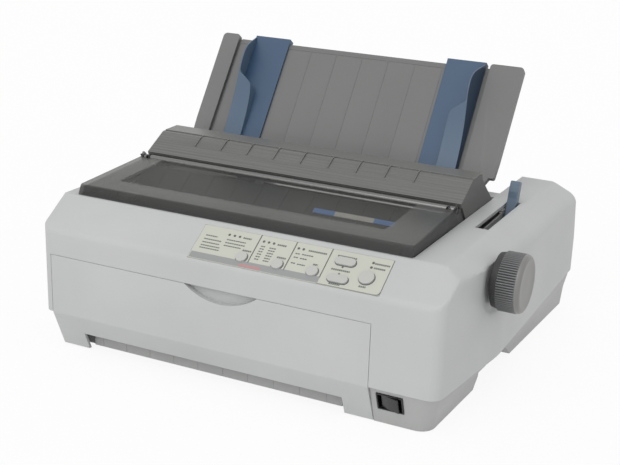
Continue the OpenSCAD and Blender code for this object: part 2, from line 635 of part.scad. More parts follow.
// side = -1 for the left guide, +1 for the right; x is the line that the paper's edge rests on
module edge_guide(x, side) in_frame() on_guide() {
  inner = x - side*(edge_w - edge_out);
  outer = x + side*edge_out;
  base = 0.3 + slide_gap;
  // Base plate and its hook over the top of the panel
  translate([min(inner, outer), -2, base]) cube([edge_w, guide_len + 2.9, 2]);
  translate([min(inner, outer), panel_top_v + slide_gap, -guide_t - slide_gap - 2])
    cube([edge_w, guide_len + 0.9 - panel_top_v - slide_gap, guide_t + slide_gap + 2 + base + 2]);
  translate([min(inner, outer), panel_top_v - 8, -guide_t - slide_gap - 2]) cube([edge_w, 12, 2]);
  // Wide foot of the side stop
  translate([0, 0, base]) linear_extrude(edge_stop_h) outline([[outer, -2, 0], [x, -2, 0],
    [x + side*0.02*edge_out, 40, 6], [x + side*0.17*edge_out, 54, 1.5], [outer - side*0.1*edge_out, 64.5, 1],
    [outer, 66, 0]]);
  // Thin flange above it, sinking towards the top
  along_x(min(outer, outer - side*1.8), max(outer, outer - side*1.8))
    outline([[60, base, 0], [60, base + edge_stop_h, 0], [67, base + edge_stop_h, 8],
      [92, base + 0.62*edge_stop_h, 30], [guide_len - 1, base + 2, 0], [guide_len - 1, base, 0]]);
}
module edge_guide_left() color(guide_blue) edge_guide(edge_left_x, -1);
module edge_guide_right() color(guide_blue) edge_guide(edge_right_x, 1);

// ---- Control panel ---------------------------------------------------------------------------
panel_x0 = right_x - 241.8;
panel_y0 = 1.6;
panel_lift = 0.05;
// Keys: [x from the panel's left edge, y up the slant], placed as shares of the plate
font_at = [0.269*panel_w, 0.331*panel_h];
pitch_at = [0.4586*panel_w, 0.331*panel_h];
tear_at = [0.6414*panel_w, 0.331*panel_h];
load_at = [0.7759*panel_w, 0.757*panel_h];
feed_at = [0.7759*panel_w, 0.265*panel_h];
pause_at = [0.9063*panel_w, 0.45*panel_h];
group_lines = [0.3121, 0.5023, 0.6885];
module oblong(w, h) {
  square([w - h, h], center = true);
  for (s = [-1, 1]) translate([s*(w - h)/2, 0]) circle(h/2);
}
module key_holes(z0, z1) {
  for (p = [font_at, pitch_at, tear_at]) translate([panel_x0 + p[0], p[1], z0])
    cylinder(h = z1 - z0, r = key_r + slide_gap);
  translate([panel_x0 + pause_at[0], pause_at[1], z0]) cylinder(h = z1 - z0, r = pause_r + slide_gap);
  for (p = [load_at, feed_at]) translate([panel_x0 + p[0], p[1], z0]) linear_extrude(z1 - z0)
    oblong(oblong_w + 2*slide_gap, oblong_h + 2*slide_gap);
}
key_top = 1.6;
key_flange = 1.2;
key_flange_t = 0.6;
key_foot = -wall - key_flange_t - 0.15;
module round_key(p, r) color(light_grey) in_frame() on_slope() translate([panel_x0 + p[0], p[1], 0]) {
  translate([0, 0, -panel_t]) cylinder(h = key_top + panel_t, r = r);
  translate([0, 0, key_foot]) cylinder(h = -key_foot, r = r - 1);
  translate([0, 0, key_foot]) cylinder(h = key_flange_t, r = r + key_flange);
}
module oblong_key(p) color(light_grey) in_frame() on_slope() translate([panel_x0 + p[0], p[1], 0]) {
  translate([0, 0, -panel_t]) linear_extrude(key_top + panel_t) oblong(oblong_w, oblong_h);
  translate([0, 0, key_foot]) linear_extrude(-key_foot) oblong(oblong_w - 2, oblong_h - 2);
  translate([0, 0, key_foot]) linear_extrude(key_flange_t)
    oblong(oblong_w + 2*key_flange, oblong_h + 2*key_flange);
}
module font_key() round_key(font_at, key_r);
module pitch_key() round_key(pitch_at, key_r);
module tear_off_key() round_key(tear_at, key_r);
module load_key() oblong_key(load_at);
module line_feed_key() oblong_key(feed_at);
module pause_key() round_key(pause_at, pause_r);
module control_panel() color(cream) in_frame() on_slope() difference() {
  translate([0, 0, -panel_t + panel_lift]) linear_extrude(panel_t) outline([[panel_x0, panel_y0, 1],
    [panel_x0 + panel_w, panel_y0, 4], [panel_x0 + panel_w, panel_y0 + panel_h, 1],
    [panel_x0, panel_y0 + panel_h, 1]]);
  key_holes(-panel_t - 1, 1);
  for (p = lens_places()) translate([panel_x0 + p[0], p[1], -panel_t - 1])
    cylinder(h = panel_t + 2, r = lens_r + 0.05);
  // Shallow lines between the groups of keys
  for (g = group_lines) translate([panel_x0 + g*panel_w, panel_y0, -0.3]) cube([0.6, panel_h + 1, 1]);
}
lens_r = 1.1;
function lens_places() = concat([for (u = [0.1494, 0.1782, 0.2069, 0.3379, 0.3649, 0.392, 0.5236, 0.5494,
    0.9063])
  [u*panel_w, 0.876*panel_h]], [[0.9063*panel_w, 0.746*panel_h]]);
module indicator_lenses() color([0.85, 0.45, 0.2]) in_frame() on_slope() for (p = lens_places())
  translate([panel_x0 + p[0], p[1], panel_lift - panel_t]) cylinder(h = panel_t + 0.35, r = lens_r);

// Plate that leads the paper out behind the platen, fixed between the side frames
exit_angle = 31;
exit_len = 35.5;
exit_t = 1.5;
module paper_exit_guide() color([0.3, 0.31, 0.32]) in_frame() translate([0, platen_y + 13, platen_z + 13])
  rotate([exit_angle, 0, 0]) {
  x0 = frame_xl + frame_t + seat_gap;
  x1 = frame_xr - seat_gap;
  block([x0, 0, -exit_t], [x1, exit_len, 0]);
  // Turned-down front edge, and ribs that the paper slides on
  block([x0, 0, -6], [x1, exit_t, 0]);
  for (i = [-5:5]) block([open_mid + i*26, 2, -exit_t/2], [open_mid + i*26 + 1.2, exit_len - 1.5, 0.8]);
}

// ---- Power switch ------------------------------------------------------------------------------
switch_x = right_x - 55.8;
switch_w = 23;
switch_h = 17.6;
switch_y0 = 17.2;
module power_switch_body() color(black) in_frame() on_setback() difference() {
  union() {
    translate([switch_x - switch_w/2, switch_y0, -18]) cube([switch_w, switch_h, 18]);
  }
  translate([switch_x - rocker_w/2 - slide_gap, switch_y0 + 1, -9]) cube([rocker_w + 2*slide_gap,
      switch_h - 2, 12]);
  translate([switch_x, switch_y0 - 1, rocker_pivot]) rotate([-90, 0, 0])
    cylinder(h = switch_h + 2, r = 1.5 + run_gap);
}
rocker_w = 20;
rocker_pivot = -3.5;
module power_rocker() color(black) in_frame() on_setback() {
  // Rocker cap, tilted towards its left end at rest
  translate([switch_x, switch_y0 + 1 + slide_gap, rocker_pivot]) rotate([-90, 0, 0])
    linear_extrude(switch_h - 2 - 2*slide_gap)
      outline([[-8.4, -1.8, 0.8], [-2, -3.4, 4], [8.4, -5.4, 0.8], [6, 2.4, 1], [-6, 2.4, 1]]);
  translate([switch_x, switch_y0 + 0.2, rocker_pivot]) rotate([-90, 0, 0]) cylinder(h = switch_h - 0.4,
      r = 1.5);
}

// ---- Steel frame ---------------------------------------------------------------------------------
base_frame_z = 22;
frame_y0 = 96;
frame_y1 = 246;
idler_at = [platen_y, platen_z] + gear_module*(platen_teeth + idler_teeth)/2*[0.6, -0.8];
pinion_at = idler_at + gear_module*(idler_teeth + pinion_teeth)/2*[0.6, -0.8];
bush_r = 7.5;
tractor_y = body_d - 66;
tractor_z = 92;
rod_z = tractor_z - 19;
carriage_rod_at = [56, 86];
rail_y = 33;
rail_z = 98;
guide_axis = [guide_y + guide_pivot_v*sin(guide_lean) + guide_t/2*cos(guide_lean),
  guide_z + guide_pivot_v*cos(guide_lean) - guide_t/2*sin(guide_lean)];
gap_lever_at = [60, 100];
lever_pivot = [208, 70];
stud_r = 3;
module side_plate() difference() {
  outline([[28, base_frame_z, 3], [28, rail_z + 4, 3], [64, rail_z + 8, 6], [78, 131, 4], [132, 133, 6],
    [bar_y - 5, bar_z - 4, 3], [bar_y - 1.9, bar_z, 0], [bar_y + 1.9, bar_z, 0], [bar_y + 6, bar_z - 5, 3],
    [bar_y + 10, 131, 6], [214, 124, 6],
    [guide_axis[0] - 6, guide_axis[1] + 6, 4], [guide_axis[0] + 7, guide_axis[1] + 6, 4], [240, 122, 4],
    [tractor_y + 10, tractor_z + 14, 6], [tractor_y + 12, tractor_z - 26, 6],
    [frame_y1 + 4, base_frame_z, 3]]);
  translate([bar_y, bar_z]) circle(bar_r + 0.05);
  translate([platen_y, platen_z]) circle(bush_r + 0.04);
  translate(carriage_rod_at) circle(rod_r + 0.05);
  translate(guide_axis) circle(guide_pin_r + run_gap);
  translate([tractor_y, tractor_z]) circle(tractor_journal_r + run_gap);
  translate([tractor_y, rod_z]) circle(3.05);
  translate([166, 84]) circle(14);
}
tractor_journal_r = 2.9;
pulley_y = 57;
belt_z = 66;
belt_h = 6;
pulley_xl = open_x0 + 33;
pulley_xr = open_x1 - 33;
bracket_z = belt_z - 4;
module left_side_frame() color(steel) in_frame() {
  along_x(frame_xl, frame_xl + frame_t) side_plate();
  // Shelf for the carriage motor
  difference() {
    block([frame_xl + 0.5, 38, bracket_z - frame_t], [pulley_xl + 18, 76, bracket_z]);
    translate([pulley_xl, pulley_y, 0]) cylinder(h = 100, r = 4);
  }
  // Ledge under the ribbon cartridge
  block([frame_xl + 0.5, lug_y + 2, cart_z0 - seat_gap - 2], [cart_x0 - 0.6, lug_y + 8, cart_z0 - seat_gap]);
  // Fixing flange at the foot
  block([frame_xl, frame_y0, base_frame_z], [frame_xl + 14, frame_y1, base_frame_z + frame_t]);
}
module right_side_frame() color(steel) in_frame() {
  difference() {
    along_x(frame_xr, frame_xr + frame_t) side_plate();
    rod_x(frame_xr - 1, frame_xr + 3, pinion_at[0], pinion_at[1], 7.5);
  }
  // Shelf and stud for the tension pulley
  block([pulley_xr - 14, 44, bracket_z - frame_t], [frame_xr + 0.5, 70, bracket_z]);
  translate([pulley_xr, pulley_y, bracket_z - 0.5]) cylinder(h = belt_h + 6, r = 2.5);
  // Studs of the idler gear, the release lever and the thickness lever
  rod_x(frame_xr + 0.5, frame_xr + frame_t + 5.6, idler_at[0], idler_at[1], stud_r);
  rod_x(frame_xr + 0.5, lever_x + lever_w/2 + 2.5, lever_pivot[0], lever_pivot[1], stud_r);
  rod_x(lever_x - lever_w/2 - 3, lever_x - lever_w/2 - 0.4, lever_pivot[0], lever_pivot[1], stud_r + 3);
  rod_x(frame_xr - 9, frame_xr + 0.5, gap_lever_at[0], gap_lever_at[1], 2.5);
  // Ledge under the ribbon cartridge
  block([cart_x1 + 0.6, lug_y + 2, cart_z0 - seat_gap - 2], [frame_xr + 0.5, lug_y + 8, cart_z0 - seat_gap]);
  // Fixing flange at the foot
  block([frame_xr + frame_t - 14, frame_y0, base_frame_z],
      [frame_xr + frame_t, frame_y1, base_frame_z + frame_t]);
}
module base_frame() color(steel) in_frame() difference() {
  union() {
    block([frame_xl, frame_y0, base_frame_z - frame_t], [frame_xr + frame_t, frame_y1, base_frame_z]);
    // Upturned edges that stiffen the plate
    for (y = [frame_y0, frame_y1 - frame_t]) block([frame_xl + 15, y, base_frame_z - frame_t],
      [frame_xr + frame_t - 15, y + frame_t, base_frame_z + 14]);
  }
  // Openings that lighten the plate
  for (x = [open_mid - 90, open_mid - 20, open_mid + 50]) block([x, 120, 0], [x + 44, 220, 30]);
}

// ---- Platen and feed train --------------------------------------------------------------------------
roller_x0 = open_x0 + 32;
roller_x1 = open_x1 - 32;
knob_gap = 2;
knob_x0 = right_x + knob_gap;
knob_x1 = right_x + knob_out;
module platen_shaft() color(steel) in_frame() {
  rod_x(frame_xl - 3, knob_x1 - 6, platen_y, platen_z, shaft_r);
}
module platen_roller() color(black) in_frame() difference() {
  rod_x(roller_x0, roller_x1, platen_y, platen_z, platen_r);
  rod_x(roller_x0 - 1, roller_x1 + 1, platen_y, platen_z, shaft_r + 0.02);
}
module platen_bushings() color([0.9, 0.9, 0.88]) in_frame()
  for (s = [[frame_xl, 1], [frame_xr + frame_t, -1]]) difference() {
    union() {
      rod_x(min(s[0], s[0] + s[1]*(frame_t + 2)), max(s[0], s[0] + s[1]*(frame_t + 2)),
        platen_y, platen_z, bush_r);
      rod_x(min(s[0] + s[1]*(frame_t + seat_gap), s[0] + s[1]*(frame_t + 2)),
        max(s[0] + s[1]*(frame_t + seat_gap), s[0] + s[1]*(frame_t + 2)), platen_y, platen_z, bush_r + 3);
    }
    rod_x(s[0] - 5, s[0] + 5, platen_y, platen_z, shaft_r + run_gap);
  }
knob_chamfer = 2;
module platen_knob() color(dark_grey) in_frame() difference() {
  translate([knob_x0, platen_y, platen_z]) rotate([0, 90, 0]) difference() {
    union() {
      cylinder(h = knob_x1 - knob_x0 - knob_chamfer, r = knob_r, $fn = 96);
      translate([0, 0, knob_x1 - knob_x0 - knob_chamfer])
        cylinder(h = knob_chamfer, r1 = knob_r, r2 = knob_r - knob_chamfer, $fn = 96);
    }
    // Flutes round the rim
    for (i = [0:knob_flutes - 1]) rotate(i*360/knob_flutes) translate([knob_r + 0.5, 0, -1])
      cylinder(h = knob_out, r = 1.3, $fn = 16);
    // Dished face and hollow back
    translate([0, 0, knob_x1 - knob_x0 - 0.6]) cylinder(h = 2, r1 = knob_r - 6, r2 = knob_r - 2.5, $fn = 64);
    translate([0, 0, -1]) difference() {
      cylinder(h = knob_x1 - knob_x0 - 4, r = knob_r - 4);
      cylinder(h = 40, r = shaft_r + 3.5);
    }
  }
  rod_x(knob_x0 - 1, knob_x1 - 5.8, platen_y, platen_z, shaft_r + 0.02);
}
gear_x0 = frame_xr + frame_t + 0.7;
gear_w = 4;
pinion_shaft_r = 1.5;
// Spur gear outline with straight-sided teeth, turned by a share of one tooth
module gear_outline(teeth, phase) {
  pitch_r = gear_module*teeth/2;
  root_r = pitch_r - 1.25*gear_module;
  tip_r = pitch_r + 0.9*gear_module;
  step = 360/teeth;
  polygon([for (i = [0:teeth - 1], p = [[-0.36, root_r], [-0.14, tip_r], [0.14, tip_r], [0.36, root_r]])
    p[1]*[cos((i + phase + p[0])*step), sin((i + phase + p[0])*step)]]);
}
// A gear on the outside of the right frame, centred on (y, z); angles turn from +Y towards +Z
module frame_gear(at, teeth, phase, bore_r) along_x(gear_x0, gear_x0 + gear_w) translate(at) difference() {
  gear_outline(teeth, phase);
  circle(bore_r);
}
// Direction of the line between two gear centres, in turns of a tooth of the given gear
function mesh_share(from, to, teeth) = atan2(to[1] - from[1], to[0] - from[0])*teeth/360;
module platen_gear() color([0.93, 0.92, 0.88]) in_frame() {
  frame_gear([platen_y, platen_z], platen_teeth, mesh_share([platen_y, platen_z], idler_at, platen_teeth),
    shaft_r + 0.02);
}
module idler_gear() color([0.93, 0.92, 0.88]) in_frame()
  frame_gear(idler_at, idler_teeth, mesh_share(idler_at, [platen_y, platen_z], idler_teeth) + 0.5,
      stud_r + run_gap);
module feed_pinion() color(steel) in_frame() {
  frame_gear(pinion_at, pinion_teeth, mesh_share(pinion_at, idler_at, pinion_teeth) + 0.5
    - (mesh_share(idler_at, pinion_at, idler_teeth) - mesh_share(idler_at, [platen_y, platen_z],
        idler_teeth) - 0.5), 1);
  rod_x(frame_xr - 2, gear_x0 + gear_w, pinion_at[0], pinion_at[1], pinion_shaft_r);
}
module feed_motor() color([0.25, 0.25, 0.27]) in_frame() difference() {
  union() {
    rod_x(frame_xr - 0.4 - 30, frame_xr - 2, pinion_at[0], pinion_at[1], feed_motor_r);
    // Mounting flange with its two ears
    rod_x(frame_xr - 2, frame_xr - seat_gap, pinion_at[0], pinion_at[1], feed_motor_r - 4);
    for (a = [35, 215]) translate([frame_xr - 2, pinion_at[0], pinion_at[1]]) rotate([a, 0, 0])
      block([0, -4, 0], [2 - seat_gap, 4, feed_motor_r + 5]);
  }
  rod_x(frame_xr - 4, frame_xr + 1, pinion_at[0], pinion_at[1], pinion_shaft_r + run_gap);
}

// ---- Print unit -------------------------------------------------------------------------------------
head_z0 = 100.4;
ribbon_y = platen_y - platen_r - 1;
module carriage() color(black) in_frame() difference() {
  union() {
    translate([carriage_x, 0, 0]) along_x(-carriage_w/2, carriage_w/2) outline([[42, 77.5, 3], [42, 92, 2],
      [27, 92, 1], [27, rail_z - slide_gap, 0], [41, rail_z - slide_gap, 1], [43, head_z0 - seat_gap, 1],
      [72, head_z0 - seat_gap, 2], [72, 77.5, 3]]);
    // Lip that grips the front rail from above
    block([carriage_x - 14, 27, rail_z - 3], [carriage_x + 14, 29, rail_z + 4]);
    block([carriage_x - 14, 27, rail_z + frame_t + slide_gap], [carriage_x + 14, 38, rail_z + 4]);
    // Clamp on the rear run of the belt
    difference() {
      block([carriage_x - 7, pulley_y + 5, belt_z - 1.6], [carriage_x + 7, pulley_y + 12, 78]);
      block([carriage_x - 8, belt_run_y - 0.35, belt_z - 0.4],
        [carriage_x + 8, belt_run_y + belt_t + 0.35, belt_z + belt_h + 0.4]);
    }
  }
  rod_x(carriage_x - 40, carriage_x + 40, carriage_rod_at[0], carriage_rod_at[1], rod_r + run_gap);
}
module print_head() color([0.2, 0.2, 0.21]) in_frame() {
  block([carriage_x - 15, 50, head_z0], [carriage_x + 15, 68, 120.5]);
  // Nose that carries the pins to the ribbon
  along_x(carriage_x - 5, carriage_x + 5)
    polygon([[67, 104], [ribbon_y - 0.5, 109], [ribbon_y - 0.5, 117], [67, 120]]);
  // Mounting ears
  block([carriage_x - 21, 56, head_z0], [carriage_x + 21, 66, head_z0 + 3]);
}
module head_heat_sink() color([0.3, 0.3, 0.31]) in_frame() {
  block([carriage_x - 17, 47.4, head_z0 + 4], [carriage_x + 17, 49.8, 120.5]);
  for (i = [0:7]) block([carriage_x - 17 + i*4.57, 40, head_z0 + 4], [carriage_x - 15 + i*4.57, 47.5, 120.5]);
}
cart_x0 = open_x0 + 18;
cart_x1 = open_x1 - 18;
cart_z0 = 122;
cart_z1 = cart_z0 + cartridge_h;
lug_out = 4;
lug_y = 72;
module ribbon_cartridge() color([0.16, 0.16, 0.17]) in_frame() difference() {
  union() {
    along_z(cart_z0, cart_z1) outline([[cart_x0, 44, 3], [cart_x1, 44, 3], [cart_x1, 74, 3],
        [cart_x1 - 12, 74, 0],
      [cart_x1 - 12, 67, 5], [cart_x0 + 12, 67, 5], [cart_x0 + 12, 74, 0], [cart_x0, 74, 3]]);
    // Lugs that rest on the ledges of the side frames
    block([cart_x0 - lug_out, lug_y, cart_z0], [cart_x1 + lug_out, lug_y + 6, cart_z0 + 4]);
    // Arms that carry the ribbon past the ends of the platen
    for (x = [cart_x0, cart_x1 - 12]) along_x(x, x + 12) outline([[56, cart_z0 + 2, 0],
        [56, cart_z0 - 2, 0], [66, 103, 3],
      [82, 103, 3], [84, 112, 2], [76, cart_z1, 3], [60, cart_z1, 0]]);
  }
  // Ribbon windows in the arms
  for (x = [cart_x0 + 9, cart_x1 - 13]) block([x, ribbon_y - 0.6, 106.5], [x + 4, ribbon_y + 0.6, 119.5]);
  // Seat of the ribbon knob
  translate([cart_x0 + 24, 55.5, cart_z1 - 3]) cylinder(h = 5, r = 4 + run_gap);
}
module ink_ribbon() color([0.08, 0.08, 0.09]) in_frame()
  block([cart_x0 + 9.3, ribbon_y - 0.15, 107], [cart_x1 - 9.3, ribbon_y + 0.15, 119]);
module ribbon_knob() color([0.85, 0.85, 0.82]) in_frame() translate([cart_x0 + 24, 55.5, cart_z1 - 2.7]) {
  cylinder(h = 4, r = 4);
  translate([0, 0, 3]) difference() {
    cylinder(h = 4, r = 9);
    for (i = [0:11]) rotate(i*30) translate([9.6, 0, -1]) cylinder(h = 6, r = 1.4, $fn = 16);
  }
}
module carriage_rod() color(steel) in_frame()
  rod_x(frame_xl - 1.5, frame_xr + frame_t + 0.6, carriage_rod_at[0], carriage_rod_at[1], rod_r);
module carriage_rail() color(steel) in_frame() difference() {
  union() {
    block([frame_xl + frame_t + seat_gap, 30, rail_z], [frame_xr - seat_gap, 37, rail_z + frame_t]);
    // Turned-down web in front of the carriage, and its end feet
    for (x = [frame_xl + frame_t + seat_gap, frame_xr - seat_gap - 12])
      block([x, 30, 84], [x + 12, 30 + frame_t, rail_z + 1]);
  }
}
belt_t = 1.2;
belt_in_r = pulley_r + 0.3;
belt_run_y = pulley_y + belt_in_r;
module stadium(r) {
  translate([pulley_xl, pulley_y]) circle(r);
  translate([pulley_xr, pulley_y]) circle(r);
  translate([pulley_xl, pulley_y - r]) square([pulley_xr - pulley_xl, 2*r]);
}
module carriage_belt() color([0.15, 0.15, 0.15]) in_frame() along_z(belt_z, belt_z + belt_h) difference() {
  stadium(belt_in_r + belt_t);
  stadium(belt_in_r);
}
module pulley(x, bore_r) translate([x, pulley_y, 0]) difference() {
  union() {
    translate([0, 0, belt_z - 0.8]) cylinder(h = belt_h + 1.6, r = pulley_r);
    for (z = [belt_z - 1.8, belt_z + belt_h + 0.8]) translate([0, 0, z]) cylinder(h = 1, r = pulley_r + 2.2);
  }
  if (bore_r > 0) translate([0, 0, belt_z - 3]) cylinder(h = belt_h + 6, r = bore_r);
}
motor_r = 15;
module drive_pulley() color([0.9, 0.9, 0.88]) in_frame() {
  pulley(pulley_xl, 0);
  translate([pulley_xl, pulley_y, bracket_z - 8]) cylinder(h = belt_z - bracket_z + 8, r = 2);
}
module tension_pulley() color([0.9, 0.9, 0.88]) in_frame() pulley(pulley_xr, 2.5 + run_gap);
module carriage_motor() color([0.25, 0.25, 0.27]) in_frame() difference() {
  union() {
    translate([pulley_xl, pulley_y, bracket_z - frame_t - seat_gap - 32]) cylinder(h = 32, r = motor_r);
    translate([pulley_xl, pulley_y, bracket_z - frame_t - 3]) cylinder(h = 3 + frame_t, r = 3.9);
  }
  translate([pulley_xl, pulley_y, bracket_z - 9]) cylinder(h = 12, r = 2 + run_gap);
}

// ---- Levers ---------------------------------------------------------------------------------------
module release_lever() color(guide_blue) in_frame() translate([lever_x, lever_pivot[0], lever_pivot[1]])
  rotate([-lever_lean, 0, 0]) difference() {
    union() {
      // Arm, with a finger pad at the top
      along_x(-lever_w/2, lever_w/2)
        outline([[-4, 0, 0], [-4, 74, 1], [-5, 80, 1], [-4.5, 90, 2.5], [3.5, 91, 2.5], [4, 74, 1],
            [4, 0, 0]]);
      rod_x(-lever_w/2, lever_w/2, 0, 0, 8);
    }
    rod_x(-lever_w, lever_w, 0, 0, stud_r + run_gap);
  }
module thickness_lever() color([0.3, 0.42, 0.5]) in_frame()
  translate([frame_xr - 8.2, gap_lever_at[0], gap_lever_at[1]]) difference() {
  union() {
    along_x(0, 5) outline([[-3, 0, 0], [-3, 30, 1], [-5, 41, 2], [3, 41, 2], [3, 0, 0]]);
    rod_x(0, 5, 0, 0, 6);
  }
  rod_x(-1, 6, 0, 0, 2.5 + run_gap);
}

// ---- Push tractor -------------------------------------------------------------------------------------
tractor_xl = open_mid - pin_span/2;
tractor_xr = tractor_xl + pin_span;
tractor_w = 19;
drum_w = 8;
module tractor_shaft() color(steel) in_frame() {
  translate([frame_xl + frame_t + 1, tractor_y - square_side/2, tractor_z - square_side/2])
    cube([frame_xr - frame_xl - frame_t - 2, square_side, square_side]);
  rod_x(frame_xl - 2, frame_xl + frame_t + 2, tractor_y, tractor_z, tractor_journal_r);
  rod_x(frame_xr - 2, gear_x0 + gear_w + 0.6, tractor_y, tractor_z, tractor_journal_r);
  frame_gear([tractor_y, tractor_z], tractor_teeth, 0, 1);
}
tractor_teeth = 32;
module tractor_rod() color(steel) in_frame() rod_x(frame_xl - 1.5, frame_xr + frame_t + slide_gap,
    tractor_y, rod_z, 3);
tractor_top = tractor_z + 10.5;
module tractor(x, out) color(dark_grey) in_frame() difference() {
  union() {
    along_x(x - tractor_w/2, x + tractor_w/2) outline([[tractor_y - 26, tractor_top - 9, 4],
      [tractor_y - 24, tractor_top, 3], [tractor_y + 24, tractor_top, 3],
      [tractor_y + 26, tractor_top - 9, 4],
      [tractor_y + 14, rod_z - 5, 5], [tractor_y - 14, rod_z - 5, 5]]);
    // Knuckles of the door hinge
    for (y = [tractor_y - knuckle_y - 6, tractor_y + knuckle_y]) {
      translate([x + out*door_axis_out, y, door_axis_z]) rotate([-90, 0, 0]) cylinder(h = 6, r = knuckle_r);
      block([x + min(out*8, out*door_axis_out), y, door_axis_z - knuckle_r],
        [x + max(out*8, out*door_axis_out), y + 6, door_axis_z]);
    }
  }
  // Chamber of the pinned drum, and the ways of its shaft and of the support rod
  rod_x(x - drum_w/2 - 0.5, x + drum_w/2 + 0.5, tractor_y, tractor_z, drum_r + 4);
  rod_x(x - tractor_w, x + tractor_w, tractor_y, tractor_z, square_side*0.72 + 0.6);
  rod_x(x - tractor_w, x + tractor_w, tractor_y, rod_z, 3 + run_gap);
  // Bores for the door's hinge pins
  translate([x + out*door_axis_out, tractor_y - 26, door_axis_z]) rotate([-90, 0, 0])
    cylinder(h = 52, r = door_pin + run_gap);
}
knuckle_y = 14;
knuckle_r = 2.2;
door_pin = 1.1;
door_axis_out = tractor_w/2 + knuckle_r + 0.4;
door_axis_z = tractor_top - 1;
// The door lies over the pins and swings up about an axis beside the tractor's outer side
module tractor_door(x, out) color(dark_grey) in_frame() difference() {
  union() {
    block([x - tractor_w/2, tractor_y - 22, tractor_top + slide_gap],
        [x + tractor_w/2, tractor_y + 22, tractor_top + 4]);
    // Knuckle between the tractor's two, and its pins
    block([x + min(out*8, out*(door_axis_out + 0.8)), tractor_y - knuckle_y + slide_gap,
        tractor_top + slide_gap],
      [x + max(out*8, out*(door_axis_out + 0.8)), tractor_y + knuckle_y - slide_gap, tractor_top + 3]);
    translate([x + out*door_axis_out, tractor_y - knuckle_y + slide_gap, door_axis_z]) rotate([-90, 0, 0])
      cylinder(h = 2*(knuckle_y - slide_gap), r = knuckle_r - 0.1);
    translate([x + out*door_axis_out, tractor_y - knuckle_y - 5, door_axis_z]) rotate([-90, 0, 0])
      cylinder(h = 2*knuckle_y + 10, r = door_pin);
  }
  // Window that the pins turn in
  block([x - 2.6, tractor_y - 17, tractor_top - 1], [x + 2.6, tractor_y + 17, tractor_top + 6]);
}
module tractor_left() tractor(tractor_xl, -1);
module tractor_right() tractor(tractor_xr, 1);
module tractor_door_left() tractor_door(tractor_xl, -1);
module tractor_door_right() tractor_door(tractor_xr, 1);
drum_pins = 6;
module sprocket(x) color([0.85, 0.85, 0.83]) in_frame() translate([x, tractor_y, tractor_z]) difference() {
  union() {
    rod_x(-drum_w/2, drum_w/2, 0, 0, drum_r - 1.2);
    for (i = [0:drum_pins - 1]) rotate([i*360/drum_pins, 0, 0]) translate([0, 0, drum_r - 2]) {
      cylinder(h = 3, r = 1.9);
      translate([0, 0, 3]) cylinder(h = 2, r1 = 1.9, r2 = 1);
    }
  }
  cube([40, square_side + 2*slide_gap, square_side + 2*slide_gap], center = true);
}
module sprocket_left() sprocket(tractor_xl);
module sprocket_right() sprocket(tractor_xr);

// ---- Electronics, sockets and fasteners ---------------------------------------------------------------
board_x0 = open_mid - 125;
board_x1 = open_mid + 95;
board_y0 = 120;
board_y1 = body_d - 14;
module main_board() color([0.2, 0.4, 0.25]) in_frame() {
  block([board_x0, board_y0, board_z], [board_x1, board_y1, board_z + 1.6]);
  // Chips, capacitors and plug headers
  for (c = [[20, 20, 28, 28, 3], [70, 30, 22, 22, 3], [120, 24, 34, 12, 8], [30, 80, 40, 14, 4],
      [90, 90, 14, 40, 4],
            [150, 70, 26, 26, 9], [20, 130, 60, 8, 9]])
    block([board_x0 + c[0], board_y0 + c[1], board_z + 1.5],
      [board_x0 + c[0] + c[2], board_y0 + c[1] + c[3], board_z + 1.6 + c[4]]);
  for (i = [0:4]) translate([board_x0 + 120 + i*16, board_y0 + 150, board_z + 1.5]) cylinder(h = 9, r = 5);
}
supply_x0 = open_x1 + 5;
supply_x1 = right_x - 20;
supply_y0 = 212;
supply_y1 = body_d - 42;
supply_z0 = 6;
module power_supply() color([0.6, 0.6, 0.58]) in_frame() difference() {
  block([supply_x0, supply_y0, supply_z0], [supply_x1, supply_y1, 54]);
  // Cooling slots in the tin case
  for (i = [0:7]) block([supply_x0 + 6, supply_y0 + 12 + i*9, 50], [supply_x1 - 6, supply_y0 + 15 + i*9, 60]);
}
// Sockets in the rear wall: [x, width, z of the middle, height]
function socket_list() = [[inlet_x, 28, 21, 21], [open_mid - 60, 62, 18, 15], [open_mid + 4, 13, 16, 12]];
module rear_sockets() color(black) in_frame() {
  // Mains inlet with its three blades
  s = socket_list()[0];
  difference() {
    block([s[0] - s[1]/2, body_d - 26, s[2] - s[3]/2], [s[0] + s[1]/2, body_d - 1, s[2] + s[3]/2]);
    block([s[0] - s[1]/2 + 3, body_d - 17, s[2] - s[3]/2 + 3],
        [s[0] + s[1]/2 - 3, body_d, s[2] + s[3]/2 - 3]);
  }
  for (p = [[-6.5, -1.5], [0, 3], [6.5, -1.5]]) block([s[0] + p[0] - 1, body_d - 18, s[2] + p[1] - 2.5],
    [s[0] + p[0] + 1, body_d - 4, s[2] + p[1] + 2.5]);
  // Wide data socket and the small square one
  for (k = [1, 2]) let (t = socket_list()[k]) difference() {
    block([t[0] - t[1]/2, body_d - 20, t[2] - t[3]/2], [t[0] + t[1]/2, body_d - 1, t[2] + t[3]/2]);
    block([t[0] - t[1]/2 + 2, body_d - 12, t[2] - t[3]/2 + 2],
        [t[0] + t[1]/2 - 2, body_d, t[2] + t[3]/2 - 2]);
  }
  let (t = socket_list()[1])
    block([t[0] - t[1]/2 + 5, body_d - 13, t[2] - 2], [t[0] + t[1]/2 - 5, body_d - 4, t[2] + 2]);
  let (t = socket_list()[2]) block([t[0] - 3, body_d - 13, t[2] - 2], [t[0] + 3, body_d - 4, t[2] + 1]);
}
